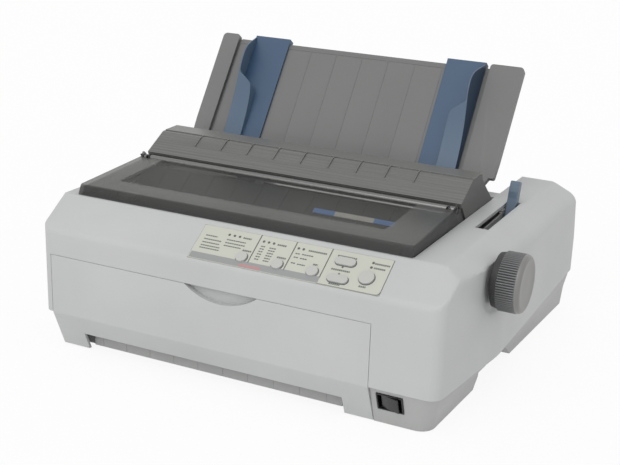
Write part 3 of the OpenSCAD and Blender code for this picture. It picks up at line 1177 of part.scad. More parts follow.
module case_screws() color(steel) in_frame() for (p = case_screw_places()) translate([p[0], p[1], 0]) {
  translate([0, 0, screw_head_z - 2.4 - seat_gap]) cylinder(h = 2.4, r = 3.4);
  translate([0, 0, screw_head_z - seat_gap - 0.1]) cylinder(h = split_z + 9 - screw_head_z,
      r = screw_r - 0.1);
}
module feet() color([0.15, 0.15, 0.15]) in_frame() for (p = foot_places()) translate([p[0], p[1], 0])
  cylinder(h = floor_z + 1, r = foot_r);

// ---- Drawing ----------------------------------------------------------------------------------------------
lower_case();
upper_case();
front_cover();
front_paper_guide();
printer_cover();
cover_bar();
bar_clips();
tension_cover();
sheet_guide();
edge_guide_left();
edge_guide_right();
control_panel();
font_key();
pitch_key();
tear_off_key();
load_key();
line_feed_key();
pause_key();
indicator_lenses();
paper_exit_guide();
power_switch_body();
power_rocker();
platen_knob();
platen_shaft();
platen_roller();
platen_bushings();
platen_gear();
idler_gear();
feed_motor();
feed_pinion();
carriage();
print_head();
head_heat_sink();
ribbon_cartridge();
ink_ribbon();
ribbon_knob();
carriage_rod();
carriage_rail();
carriage_belt();
carriage_motor();
drive_pulley();
tension_pulley();
release_lever();
thickness_lever();
left_side_frame();
right_side_frame();
base_frame();
tractor_shaft();
tractor_rod();
tractor_left();
tractor_right();
tractor_door_left();
tractor_door_right();
sprocket_left();
sprocket_right();
main_board();
power_supply();
rear_sockets();
case_screws();
feet();
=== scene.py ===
"""Looks of a desktop dot matrix printer: smoked lid, ribbed tension cover and raised sheet guide.

Lengths are metres in the printer's own frame. Sizes written in millimetres use case coordinates:
x from the middle of the case, y from the front face backwards, z from the desk upwards.
"""

import json
import math

import bmesh
import bpy
from bpy.props import FloatProperty, FloatVectorProperty, IntProperty, PointerProperty
from mathutils import Matrix, Vector


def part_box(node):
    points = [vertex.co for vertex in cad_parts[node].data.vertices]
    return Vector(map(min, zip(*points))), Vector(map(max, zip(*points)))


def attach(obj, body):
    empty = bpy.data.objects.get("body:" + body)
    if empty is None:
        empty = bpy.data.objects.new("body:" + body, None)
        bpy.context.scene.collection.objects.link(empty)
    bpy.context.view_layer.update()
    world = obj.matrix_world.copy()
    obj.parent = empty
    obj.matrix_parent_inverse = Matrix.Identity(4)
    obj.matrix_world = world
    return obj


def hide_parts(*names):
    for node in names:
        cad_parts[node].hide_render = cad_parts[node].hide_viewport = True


bl_info = {
    "name": "Dot Matrix Printer",
    "version": (1, 0, 0),
    "blender": (4, 5, 0),
    "location": "3D View > Sidebar > Printer",
    "description": "Builds the looks of a desktop dot matrix printer around its solid parts",
    "category": "Object",
}

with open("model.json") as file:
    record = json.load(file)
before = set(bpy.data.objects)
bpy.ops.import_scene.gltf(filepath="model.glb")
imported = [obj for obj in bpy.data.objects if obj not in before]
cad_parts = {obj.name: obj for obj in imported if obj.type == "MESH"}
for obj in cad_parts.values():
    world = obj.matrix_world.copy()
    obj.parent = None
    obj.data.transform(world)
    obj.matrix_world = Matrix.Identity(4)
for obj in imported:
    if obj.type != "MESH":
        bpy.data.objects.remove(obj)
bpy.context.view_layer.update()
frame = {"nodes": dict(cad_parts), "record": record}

MM = 0.001
CASE_LO, CASE_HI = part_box("upper_case")
BODY = {n: b for b, members in frame["record"]["behaviour"]["bodies"].items() for n in members}
SLOT = {s["node"]: s["material_slot"] for s in frame["record"]["subparts"]}
MIDDLE_X = (CASE_LO[0] + CASE_HI[0]) / 2


def at(x, y, z):
    """A point in case coordinates, in millimetres, as a point of the frame."""
    return Vector((MIDDLE_X + x * MM, CASE_LO[1] + y * MM, z * MM))


def case_box(node):
    """Lowest and highest corner of a solid in case coordinates, in millimetres."""
    lo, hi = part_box(node)
    start = Vector((MIDDLE_X, CASE_LO[1], 0.0))
    return (Vector(lo) - start) / MM, (Vector(hi) - start) / MM


KNOB_LO, KNOB_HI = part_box("platen_knob")
KNOB_CENTRE = (Vector(KNOB_LO) + Vector(KNOB_HI)) / 2
KNOB_R = (KNOB_HI[2] - KNOB_LO[2]) / 2

# ---- Settings ---------------------------------------------------------------------------


def colour(name, description, value):
    return FloatVectorProperty(
        name=name, description=description, default=value, subtype="COLOR", size=3, min=0.0, max=1.0
    )


def length(name, description, value):
    return FloatProperty(name=name, description=description, default=value, min=0.0, unit="LENGTH")


def share(name, description, value):
    return FloatProperty(
        name=name, description=description, default=value, min=0.0, max=1.0, subtype="FACTOR"
    )


def strength(name, description, value):
    return FloatProperty(name=name, description=description, default=value, min=0.0)


class CaseLooks(bpy.types.PropertyGroup):
    upper: colour("Upper case", "Colour of the upper case and front cover", (0.520, 0.530, 0.526))
    lower: colour("Lower case", "Colour of the lower case and ribbed strip", (0.440, 0.446, 0.440))
    grain: length("Grain", "Depth of the fine texture of the moulded plastic", 0.00003)
    edge: length("Edge", "Width of the softened edges of the mouldings", 0.0006)


class CoverLooks(bpy.types.PropertyGroup):
    smoke: colour("Smoked plastic", "Colour of the smoked cover's surface", (0.128, 0.128, 0.122))
    veil: share("Veil", "Share of light that each face of the clear window stops", 0.24)
    margin_veil: share("Margin veil", "Share of light that the frosted margins stop", 0.62)
    lip: colour("Lip", "Colour of the cover's front lip and sides", (0.040, 0.040, 0.039))
    dark: colour("Dark plastic", "Colour of the sheet guide and the tractors", (0.165, 0.168, 0.164))
    hood: colour("Tension cover", "Colour of the tension cover's front", (0.140, 0.140, 0.134))
    line_pitch: length("Line pitch", "Distance between the fine lines of the tension cover", 0.0016)
    blue: colour("Stops", "Colour of the edge guides' stops", (0.088, 0.140, 0.210))
    deep_blue: colour("Guide plates", "Colour of the edge guides' plates", (0.043, 0.088, 0.160))
    lever: colour("Lever plastic", "Colour of the release lever", (0.100, 0.145, 0.200))


class PanelLooks(bpy.types.PropertyGroup):
    plate: colour("Panel", "Colour of the control panel's plate", (0.560, 0.565, 0.500))
    print: colour("Print", "Colour of the marks printed on the panel", (0.120, 0.140, 0.125))
    band: colour("Band", "Colour of the band along the panel's lower edge", (0.310, 0.318, 0.318))
    keys: colour("Keys", "Colour of the keys", (0.515, 0.520, 0.495))
    lamp: colour("Lamps", "Colour of the unlit indicator lamps", (0.090, 0.105, 0.085))


class KnobLooks(bpy.types.PropertyGroup):
    grip: colour("Knob", "Colour of the platen knob", (0.150, 0.153, 0.156))
    ribs: IntProperty(
        name="Ribs", description="Number of ribs round the knob", default=72, min=12, max=90
    )
    rib_depth: length("Rib depth", "Height of the knob's ribs", 0.0011)
    face: colour("Knob face", "Colour of the knob's dished face", (0.215, 0.212, 0.205))


class StageLooks(bpy.types.PropertyGroup):
    world: strength("World", "Strength of the even light from all round", 0.66)
    sun: strength("Sun", "Strength of the soft light from above the front", 0.95)
    low_lamp: strength("Low lamp", "Strength of the small lamp in front", 0.15)
    lens: FloatProperty(
        name="Lens", description="Focal length on a sensor 36 mm wide", default=70.76, min=1.0
    )
    white: share("White", "Share of plain white in the floor that the camera sees", 0.90)


SETTINGS = {
    "printer_case": CaseLooks,
    "printer_covers": CoverLooks,
    "printer_panel": PanelLooks,
    "printer_knob": KnobLooks,
    "printer_stage": StageLooks,
}

# ---- Materials --------------------------------------------------------------------------


def add_node(tree, kind, **values):
    """A shader node with its inputs set. An underscore stands for a space in an input's name."""
    node = tree.nodes.new("ShaderNode" + kind)
    for name, value in values.items():
        node.inputs[name.replace("_", " ")].default_value = value
    return node


def fresh_material(name):
    material = bpy.data.materials.new(name)
    material.use_nodes = True
    tree = material.node_tree
    tree.nodes.clear()
    out = add_node(tree, "OutputMaterial")
    shader = add_node(tree, "BsdfPrincipled")
    tree.links.new(shader.outputs["BSDF"], out.inputs["Surface"])
    return material, tree, shader, out


def shader_of(material):
    """A material's node tree and its main shader."""
    tree = material.node_tree
    return tree, next(n for n in tree.nodes if n.type == "BSDF_PRINCIPLED")


def combine(tree, operation, one, other):
    """Output of a Math node on two sockets."""
    node = add_node(tree, "Math")
    node.operation = operation
    tree.links.new(one, node.inputs[0])
    tree.links.new(other, node.inputs[1])
    return node.outputs[0]


def mix_shaders(tree, fac, first, second, out):
    """Sends a mix of two shaders to an output node."""
    mix = add_node(tree, "MixShader")
    tree.links.new(fac, mix.inputs["Fac"])
    tree.links.new(first.outputs[0], mix.inputs[1])
    tree.links.new(second.outputs[0], mix.inputs[2])
    tree.links.new(mix.outputs[0], out.inputs["Surface"])


def pattern(tree, kind, scale, stretch=(1, 1, 1), detail=3.0):
    """Noise or waves on Object coordinates, drawn out by stretch."""
    where = add_node(tree, "TexCoord")
    mapping = add_node(tree, "Mapping", Scale=stretch)
    texture = add_node(tree, kind, Scale=scale, Detail=detail)
    tree.links.new(where.outputs["Object"], mapping.inputs["Vector"])
    tree.links.new(mapping.outputs["Vector"], texture.inputs["Vector"])
    return texture


def spread(tree, value, low, high):
    """Takes a pattern's middle range to the range from low to high."""
    ranged = add_node(tree, "MapRange", From_Min=0.3, From_Max=0.7, To_Min=low, To_Max=high)
    tree.links.new(value, ranged.inputs["Value"])
    return ranged.outputs["Result"]


def vary_colour(tree, shader, fac, first, second):
    mix = add_node(tree, "Mix")
    mix.data_type = "RGBA"
    tree.links.new(fac, mix.inputs["Factor"])
    mix.inputs[6].default_value = (*first, 1.0)
    mix.inputs[7].default_value = (*second, 1.0)
    tree.links.new(mix.outputs[2], shader.inputs["Base Color"])


def add_bump(tree, shader, height, depth):
    bump = add_node(tree, "Bump", Distance=depth)
    tree.links.new(height, bump.inputs["Height"])
    previous = shader.inputs["Normal"].links
    if previous:
        tree.links.new(previous[0].from_socket, bump.inputs["Normal"])
    tree.links.new(bump.outputs["Normal"], shader.inputs["Normal"])


def shade(rgb, factor):
    """A colour made darker or lighter by a factor."""
    return [min(1.0, c * factor) for c in rgb]


def plastic(name, rgb, roughness, grain=0.00002, scale=1400.0, mottle=0.03, coat=0.0):
    """Moulded plastic: faint clouds of colour, uneven gloss and a fine spark-eroded grain."""
    material, tree, shader, _ = fresh_material(name)
    clouds = pattern(tree, "TexNoise", 11.0)
    even = spread(tree, clouds.outputs["Fac"], 0.0, 1.0)
    vary_colour(tree, shader, even, shade(rgb, 1 - mottle), shade(rgb, 1 + mottle))
    fine = pattern(tree, "TexNoise", scale, detail=2.0)
    gloss = spread(tree, fine.outputs["Fac"], roughness - 0.05, roughness + 0.05)
    tree.links.new(gloss, shader.inputs["Roughness"])
    shader.inputs["Coat Weight"].default_value = coat
    add_bump(tree, shader, fine.outputs["Fac"], grain)
    return material


def lined_plastic(name, rgb, roughness, grain, pitch, axis, depth):
    """Moulded plastic with fine parallel grooves, a pitch apart along an axis."""
    material = plastic(name, rgb, roughness, grain)
    tree, shader = shader_of(material)
    lines = pattern(tree, "TexWave", math.tau / (20.0 * pitch))
    lines.bands_direction = axis
    lines.inputs["Distortion"].default_value = 0.0
    add_bump(tree, shader, lines.outputs["Fac"], depth)
    return material


def metal(name, rgb, roughness, stretch=(1, 1, 1), scale=900.0):
    """Rolled or turned metal, with its marks drawn out by stretch."""
    material, tree, shader, _ = fresh_material(name)
    marks = pattern(tree, "TexNoise", scale, stretch)
    even = spread(tree, marks.outputs["Fac"], 0.0, 1.0)
    vary_colour(tree, shader, even, shade(rgb, 0.94), shade(rgb, 1.05))
    gloss = spread(tree, marks.outputs["Fac"], roughness - 0.05, roughness + 0.07)
    tree.links.new(gloss, shader.inputs["Roughness"])
    shader.inputs["Metallic"].default_value = 1.0
    add_bump(tree, shader, marks.outputs["Fac"], 0.000004)
    return material


# Edges of the smoked cover's clear window and of its top plate in case coordinates: the axis,
# the place where the area has not begun yet and the place where it is whole
WINDOW_EDGES = (("X", -158.0, -156.5), ("X", 105.5, 104.0), ("Y", 65.0, 66.2))
TOP_EDGES = (("Y", 41.2, 42.6), ("X", -181.8, -180.2), ("X", 139.8, 138.2))


def smoked_plastic(name, rgb, lip, veil, margin_veil):
    """Tinted plastic: a clear window in the cover, frosted margins, a dark lip and dark sides."""
    material = plastic(name, rgb, 0.26, grain=0.0000002, scale=4000.0, mottle=0.05)
    tree, shader = shader_of(material)
    out = next(n for n in tree.nodes if n.type == "OUTPUT_MATERIAL")
    clear = add_node(tree, "BsdfTransparent", Color=(0.88, 0.88, 0.87, 1.0))
    where = add_node(tree, "TexCoord")
    split = add_node(tree, "SeparateXYZ")
    tree.links.new(where.outputs["Object"], split.inputs["Vector"])

    def step(axis, outside, inside):
        """0 at the place outside and 1 at the place inside, both in case coordinates."""
        low, high = (at(v, v, v)["XYZ".index(axis)] for v in sorted((outside, inside)))
        first, last = (0.0, 1.0) if inside > outside else (1.0, 0.0)
        ranged = add_node(
            tree, "MapRange", From_Min=low, From_Max=high, To_Min=first, To_Max=last
        )
        ranged.interpolation_type = "SMOOTHSTEP"
        tree.links.new(split.outputs[axis], ranged.inputs["Value"])
        return ranged.outputs["Result"]

    def within(edges):
        """1 inside all of three edges."""
        first, second, third = (step(*edge) for edge in edges)
        return combine(tree, "MULTIPLY", combine(tree, "MULTIPLY", first, second), third)

    stopped = add_node(tree, "MapRange", To_Min=margin_veil, To_Max=veil)
    tree.links.new(within(WINDOW_EDGES), stopped.inputs["Value"])
    # Lip and sides, below the top plate, are thick and dark
    tint = add_node(tree, "Mix")
    tint.data_type = "RGBA"
    tint.inputs[6].default_value = (*lip, 1.0)
    tree.links.new(within(TOP_EDGES), tint.inputs["Factor"])
    tree.links.new(shader.inputs["Base Color"].links[0].from_socket, tint.inputs[7])
    tree.links.new(tint.outputs[2], shader.inputs["Base Color"])
    mix_shaders(tree, stopped.outputs["Result"], clear, shader, out)
    return material


def streaked_plastic(name, rgb, roughness, grain, pitch, axis, depth):
    """Moulded plastic with fine grooves along X, and long faint streaks between them."""
    material = lined_plastic(name, rgb, roughness, grain, pitch, axis, depth)
    tree, shader = shader_of(material)
    streaks = pattern(tree, "TexNoise", 90.0, (0.12, 6.0, 6.0), 4.0)
    even = spread(tree, streaks.outputs["Fac"], 0.0, 1.0)
    vary_colour(tree, shader, even, shade(rgb, 0.86), shade(rgb, 1.12))
    return material


def ribbed_plastic(name, rgb, groove, centre, low, high):
    """Grip of a knob about the X axis through centre: painted shade darkens the grooves towards the
    colour groove, and the crests keep the grip's colour.
    """
    material = plastic(name, rgb, 0.20, 0.000001)
    tree, shader = shader_of(material)
    where = add_node(tree, "TexCoord")
    moved = add_node(tree, "Mapping", Location=(0.0, -centre.y, -centre.z))
    flat = add_node(tree, "VectorMath")
    flat.operation = "MULTIPLY"
    flat.inputs[1].default_value = (0.0, 1.0, 1.0)
    reach = add_node(tree, "VectorMath")
    reach.operation = "LENGTH"
    ranged = add_node(tree, "MapRange", From_Min=low, From_Max=high)
    tree.links.new(where.outputs["Object"], moved.inputs["Vector"])
    tree.links.new(moved.outputs["Vector"], flat.inputs[0])
    tree.links.new(flat.outputs["Vector"], reach.inputs[0])
    tree.links.new(reach.outputs["Value"], ranged.inputs["Value"])
    # Painted shade: darker from the crests down into the grooves
    vary_colour(tree, shader, ranged.outputs["Result"], groove, rgb)
    return material


def finishes():
    """One material for each of the record's slots and for each of the finer finishes, by name."""
    scene = bpy.context.scene
    case, covers = scene.printer_case, scene.printer_covers
    panel, knob = scene.printer_panel, scene.printer_knob
    grain = case.grain
    rib_foot = KNOB_R - knob.rib_depth
    return {
        "case_light": plastic("CaseLight", case.upper, 0.55, grain),
        "case_grey": plastic("CaseGrey", case.lower, 0.55, grain),
        "smoked_clear": smoked_plastic(
            "SmokedPlastic", covers.smoke, covers.lip, covers.veil, covers.margin_veil
        ),
        "dark_plastic": plastic("DarkPlastic", covers.dark, 0.50, grain),
        "lined_dark": streaked_plastic(
            "LinedDark", covers.hood, 0.42, grain, covers.line_pitch, "Z", 0.00020
        ),
        # Painted shade: a darker copy of the tension cover's colour for its end faces
        "hood_end": plastic("HoodEndPaintedShade", shade(covers.hood, 0.62), 0.50, grain),
        # Painted light: a lighter copy of the tension cover's colour for its top band and rolled lip
        "hood_lip_painted_light": plastic("HoodLipPaintedLight", shade(covers.hood, 1.12), 0.36, grain),
        "guide_blue": plastic("GuideBlue", covers.blue, 0.36, grain),
        "guide_deep": plastic("GuideDeepBlue", covers.deep_blue, 0.42, grain),
        # Painted shade: a darker copy of the plates' blue for the edge guides' outward side faces,
        # where the gap beside them lies in shade
        "guide_painted_shade": plastic("GuideBluePaintedShade", shade(covers.deep_blue, 0.45), 0.50, grain),
        "lever_blue": plastic("LeverBlue", covers.lever, 0.40, grain),
        "panel_cream": plastic("PanelCream", panel.plate, 0.45, 0.000008, mottle=0.015),
        "panel_print": plastic("PanelPrint", panel.print, 0.55, 0.000004),
        "panel_band": plastic("PanelBand", panel.band, 0.50, 0.000006),
        "panel_red": plastic("PanelRed", (0.480, 0.260, 0.260), 0.50, 0.000006),
        "key_grey": plastic("KeyGrey", panel.keys, 0.40, 0.000010),
        "key_shade": plastic("KeyShade", (0.130, 0.135, 0.140), 0.60),
        "lamp": plastic("LampLens", panel.lamp, 0.20, 0.000002, coat=0.5),
        "black_plastic": plastic("BlackPlastic", (0.014, 0.014, 0.015), 0.28, 0.000004),
        "black_matte": plastic("BlackMatte", (0.024, 0.024, 0.026), 0.50, grain),
        "white_plastic": plastic("WhitePlastic", (0.72, 0.71, 0.66), 0.40),
        "label_blue": plastic("LabelBlue", (0.160, 0.400, 0.950), 0.35, 0.000004),
        "label_white": plastic("LabelWhite", (0.920, 0.900, 0.850), 0.45, 0.000004),
        # The knob's grooves carry painted shade, a darker copy of the grip's colour
        "knob_grey": ribbed_plastic(
            "KnobGrey", knob.grip, shade(knob.grip, 0.30), KNOB_CENTRE, rib_foot, KNOB_R
        ),
        "knob_face": plastic("KnobFace", knob.face, 0.40, 0.000008),
        "steel": metal("Steel", (0.36, 0.36, 0.37), 0.34, (8, 400, 400), 30.0),
        "dark_steel": metal("DarkSteel", (0.185, 0.185, 0.182), 0.24, (8, 400, 400), 30.0),
        "plated_sheet": metal("PlatedSheet", (0.50, 0.50, 0.49), 0.36),
        "motor_black": plastic("MotorBlack", (0.030, 0.030, 0.033), 0.38),
        "sink_black": plastic("SinkBlack", (0.040, 0.040, 0.042), 0.45),
        "roller_rubber": plastic("RollerRubber", (0.018, 0.018, 0.019), 0.62, grain),
        "belt_rubber": plastic("BeltRubber", (0.014, 0.014, 0.015), 0.70),
        "ribbon_cloth": plastic("RibbonCloth", (0.010, 0.010, 0.012), 0.85, 0.00004, 3000.0),
        "board_green": plastic("BoardGreen", (0.020, 0.100, 0.040), 0.40),
    }


FINISH = {}


def finish_of(name):
    """The finish of that name. All of them are made when the first is asked for."""
    if not FINISH:
        FINISH.update(finishes())
    return FINISH[name]


# ---- Meshes -----------------------------------------------------------------------------


def put(name, bm, finish, node, replaces=(), sharp_at=32.0):
    """Turns a bmesh, already in the frame's place, into a piece that rides with a node."""
    mesh = bpy.data.meshes.new(name)
    bm.to_mesh(mesh)
    bm.free()
    for face in mesh.polygons:
        face.use_smooth = True
    mesh.set_sharp_from_angle(angle=math.radians(sharp_at))
    piece = bpy.data.objects.new(name, mesh)
    bpy.context.scene.collection.objects.link(piece)
    mesh.materials.append(finish_of(finish))
    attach(piece, BODY[node])
    if replaces:
        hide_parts(*replaces)
    return piece


def soften(piece, width, segments=2):
    """Small rounded edges, as every moulding has."""
    bevel = piece.modifiers.new("SoftEdges", "BEVEL")
    bevel.width = width
    bevel.segments = segments
    bevel.limit_method = "ANGLE"
    bevel.angle_limit = math.radians(35.0)
    bevel.harden_normals = True
    bevel.use_clamp_overlap = True
    return piece


def solid_copy(node):
    """The merged form of a solid, with flat faces whole again."""
    bm = bmesh.new()
    bm.from_mesh(frame["nodes"][node].data)
    bmesh.ops.remove_doubles(bm, verts=bm.verts, dist=0.000004)
    flat = math.radians(0.4)
    bmesh.ops.dissolve_limit(
        bm, angle_limit=flat, verts=bm.verts, edges=bm.edges, use_dissolve_boundaries=False
    )
    return bm


def dress(node, width=0.0003, segments=2, finish=None):
    """The piece that is seen in place of a solid: the same form with softened edges."""
    piece = put(node + "_moulding", solid_copy(node), finish or SLOT[node], node, (node,))
    return soften(piece, width, segments)


def repaint(piece, choose, *more):
    """Gives each face the finish whose place in (own, *more) choose finds by middle and normal."""
    for finish in more:
        piece.data.materials.append(finish_of(finish))
    for face in piece.data.polygons:
        face.material_index = choose(face.center, face.normal)


def dress_all(widths):
    """Dresses each node with its own width of edge, in millimetres."""
    for node, width in widths.items():
        dress(node, width * MM)


def box_between(bm, corner_of, low, high):
    """Adds a box whose corners, in millimetres, go through corner_of to the frame."""
    made = bmesh.ops.create_cube(bm, size=1.0)
    for v in made["verts"]:
        v.co = corner_of(*[low[i] if v.co[i] < 0 else high[i] for i in range(3)])


def turned(bm, corner_of, profile, steps=64):
    """Spins a profile of (along the axis, radius) pairs in millimetres once round the axis."""
    verts = [bm.verts.new((along * MM, radius * MM, 0.0)) for along, radius in profile]
    edges = [bm.edges.new(pair) for pair in zip(verts, verts[1:])]
    bmesh.ops.spin(
        bm, geom=verts + edges, cent=(0, 0, 0), axis=(1, 0, 0), angle=math.tau, steps=steps,
        use_merge=True,
    )
    bmesh.ops.remove_doubles(bm, verts=bm.verts, dist=0.000001)
    bmesh.ops.recalc_face_normals(bm, faces=bm.faces)
    for v in bm.verts:
        v.co = corner_of(v.co.x / MM, v.co.y / MM, v.co.z / MM)


def loop_edges(verts):
    return list({e for v in verts for e in v.link_edges})


def loft(bm, loops):
    """Skins a row of loops of edges and fills its two ends."""
    for one, other in zip(loops, loops[1:]):
        bmesh.ops.bridge_loops(bm, edges=one + other)
    for end in (loops[0], loops[-1]):
        bmesh.ops.edgeloop_fill(bm, edges=end)
    bmesh.ops.recalc_face_normals(bm, faces=bm.faces)


def wire(bm, points, radius, sides):
    """A round wire along points of the frame."""
    loops = []
    for before, point, after in zip(points[:1] + points, points, points[1:] + points[-1:]):
        turn = (after - before).to_track_quat("Z", "Y").to_matrix()
        made = bmesh.ops.create_circle(bm, cap_ends=False, radius=radius, segments=sides)
        for v in made["verts"]:
            v.co = turn @ v.co + point
        loops.append(loop_edges(made["verts"]))
    loft(bm, loops)


# ---- Places on the slanted front and on the sheet guide -----------------------------------

# The front rises 23 mm over a run of 36 mm, from a foot 116 mm above the desk
SLANT = math.atan2(23, 36)
SLANT_FOOT_Z = 116.0
# The panel's outer face over the slant, its width, the foot of its plate up the slant, its height
PANEL_LO, PANEL_HI = case_box("control_panel")
PANEL_FACE = 0.05
PANEL_W = PANEL_HI.x - PANEL_LO.x
PANEL_FOOT = 1.6
PANEL_H = 36.2


def on_slant(x, y, z=0.0):
    """A point of the slanted front: x across the case, y up the slant, z out of it."""
    return at(
        x,
        y * math.cos(SLANT) - z * math.sin(SLANT),
        SLANT_FOOT_Z + y * math.sin(SLANT) + z * math.cos(SLANT),
    )


def on_panel(u, v, z=0.0):
    """A point of the control panel: u from its left edge, v up from the foot of the slant."""
    return on_slant(PANEL_LO.x + u, v, PANEL_FACE + z)


# Foot of the sheet guide's face, its lean backwards, and the outer face of an edge guide's plate
GUIDE_Y, GUIDE_Z = 240.0, 155.0
GUIDE_LEAN = math.radians(36)
PLATE_TOP = 2.7


def on_guide(x, v, w=0.0):
    """A point of the sheet guide: x across the case, v up the guide, w out of its face."""
    return at(
        x,
        GUIDE_Y + v * math.sin(GUIDE_LEAN) - w * math.cos(GUIDE_LEAN),
        GUIDE_Z + v * math.cos(GUIDE_LEAN) + w * math.sin(GUIDE_LEAN),
    )


# ---- Operators --------------------------------------------------------------------------

# The part of the shoulder that is eased, in case coordinates, and a point well inside the case
SHOULDER_LO, SHOULDER_HI = (148, -1, 62), (197, 142, 140)
SHOULDER_CORE = (118, 118, 88)
SHOULDER_GRID = 4.0
SHOULDER_ROUNDS = 8
# The knob's dish: its middle on the side wall, the radius that stays plain round the shaft's
# hole, and the radius and half width of the ring at its foot that keeps its form
DISH_MIDDLE = (196, 94, 113)
DISH_HOLE_R = 18.0
DISH_FOOT_R, DISH_FOOT_HALF = 35.2, 1.5
DISH_DEPTH = 2.2


class PRINTER_OT_case(bpy.types.Operator):
    """Upper and lower case, feet, screws and rear sockets"""

    bl_idname = "printer.case"
    bl_label = "Case"

    def execute(self, context):
        edge = context.scene.printer_case.edge
        bm = solid_copy("upper_case")
        self.ease_shoulder(bm)
        piece = put("upper_case_moulding", bm, "case_light", "upper_case", ("upper_case",))
        soften(piece, edge * 1.4, 3)
        dress("lower_case", edge)
        dress_all({"feet": 0.4, "case_screws": 0.2, "rear_sockets": 0.25, "power_switch_body": 0.4})
        dress("power_rocker", 0.0007, 3)
        return {"FINISHED"}

    def ease_shoulder(self, bm):
        """Draws the front right corner and the knob's dish into soft, continuous curves."""
        lo, hi = at(*SHOULDER_LO), at(*SHOULDER_HI)
        border = 0.5 * MM
        grid = SHOULDER_GRID * MM

        def meets(face):
            """Whether a face's own box touches the eased region."""
            for i in range(3):
                places = [v.co[i] for v in face.verts]
                if min(places) > hi[i] or max(places) < lo[i]:
                    return False
            return True

        bmesh.ops.triangulate(bm, faces=[f for f in bm.faces if meets(f)])
        for axis in range(3):
            normal = Vector([1.0 if i == axis else 0.0 for i in range(3)])
            place = lo[axis]
            while place < hi[axis] + grid / 2:
                faces = [f for f in bm.faces if meets(f)]
                edges = {e for f in faces for e in f.edges}
                verts = {v for e in edges for v in e.verts}
                bmesh.ops.bisect_plane(
                    bm, geom=[*verts, *edges, *faces], dist=1e-6, plane_co=normal * place,
                    plane_no=normal,
                )
                place += grid
        bm.normal_update()
        core = at(*SHOULDER_CORE)
        dish = at(*DISH_MIDDLE)

        def loose(vert):
            """Outer skin, away from the knob's hole, the dish's foot and the region's border."""
            if not all(lo[i] + border <= vert.co[i] <= hi[i] - border for i in range(3)):
                return False
            if vert.normal.dot(vert.co - core) <= 0.0:
                return False
            off = math.hypot(vert.co.y - dish.y, vert.co.z - dish.z) / MM
            deep = vert.co.x < dish.x - DISH_DEPTH * MM
            return off > DISH_HOLE_R and not (deep and abs(off - DISH_FOOT_R) < DISH_FOOT_HALF)

        free = [v for v in bm.verts if loose(v)]
        for _ in range(SHOULDER_ROUNDS):
            bmesh.ops.smooth_vert(
                bm, verts=free, factor=0.5, use_axis_x=True, use_axis_y=True, use_axis_z=True
            )


class PRINTER_OT_front(bpy.types.Operator):
    """Front cover with its finger scoop, and the ribbed paper guide under it"""

    bl_idname = "printer.front"
    bl_label = "Front cover"

    def execute(self, context):
        dress("front_cover", context.scene.printer_case.edge, 3)
        dress("front_paper_guide", 0.0003)
        return {"FINISHED"}


# Wire springs at the bar's ends, in millimetres: length, height of the wave, waves, radius
SPRING_LENGTH, SPRING_RISE, SPRING_WAVES, SPRING_R = 9.5, 3.4, 1.3, 0.95
SPRING_POINTS = 17
# The strip on the paper exit guide: front edge, slant of the guide's face, width, thickness
STRIP_Y, STRIP_Z = 118.0, 132.62
STRIP_SLANT = math.radians(31.0)
STRIP_WIDTH, STRIP_THICKNESS = 5.2, 1.0
STRIP_PARTS = (
    ("left", 13.0, 34.0, "label_blue"),
    ("middle", 34.0, 72.0, "label_white"),
    ("right", 72.0, 91.0, "label_blue"),
)


def on_strip(x, v, w):
    """A point of the exit guide's strip: x across the case, v up its face, w out of it."""
    return at(
        x,
        STRIP_Y + v * math.cos(STRIP_SLANT) - w * math.sin(STRIP_SLANT),
        STRIP_Z + v * math.sin(STRIP_SLANT) + w * math.cos(STRIP_SLANT),
    )


class PRINTER_OT_smoked_cover(bpy.types.Operator):
    """Smoked printer cover, its bar, the bar's clips and springs, and the strip under the cover"""

    bl_idname = "printer.smoked_cover"
    bl_label = "Smoked cover"

    def execute(self, context):
        dress("printer_cover", 0.0009, 3)
        dress("cover_bar", 0.0004, finish="dark_steel")
        dress("bar_clips", 0.0002, finish="black_matte")
        self.end_springs()
        self.place_strip()
        return {"FINISHED"}

    def end_springs(self):
        """Bent wire springs in front of the bar's two ends."""
        lo, hi = case_box("cover_bar")
        middle = (lo + hi) / 2
        front = lo.y - 0.4
        for name, end, side in (("left", lo.x + 9.0, 1), ("right", hi.x - 9.0, -1)):
            points = []
            for i in range(SPRING_POINTS):
                t = i / (SPRING_POINTS - 1)
                rise = SPRING_RISE * math.sin(math.tau * SPRING_WAVES * t)
                ahead = 0.6 * math.cos(5 * t)
                points.append(at(end - side * SPRING_LENGTH * t, front + ahead, middle.z + rise))
            bm = bmesh.new()
            wire(bm, points, SPRING_R * MM, sides=8)
            put("bar_spring_" + name, bm, "black_plastic", "bar_clips")

    def place_strip(self):
        """Plain two-coloured strip that marks the paper's place on the paper exit guide."""
        for name, x0, x1, finish in STRIP_PARTS:
            bm = bmesh.new()
            box_between(bm, on_strip, (x0, 0.0, 0.0), (x1, STRIP_WIDTH, STRIP_THICKNESS))
            put("place_strip_" + name, bm, finish, "paper_exit_guide")


# The tension cover's ends in case coordinates. From its front edge: the flat band, the rolled lip
HOOD_X = (-182.5, 140.5)
BAND_FROM, BAND_TO = 31.5, 52.6
LIP_FROM, LIP_R = 51.6, 1.2


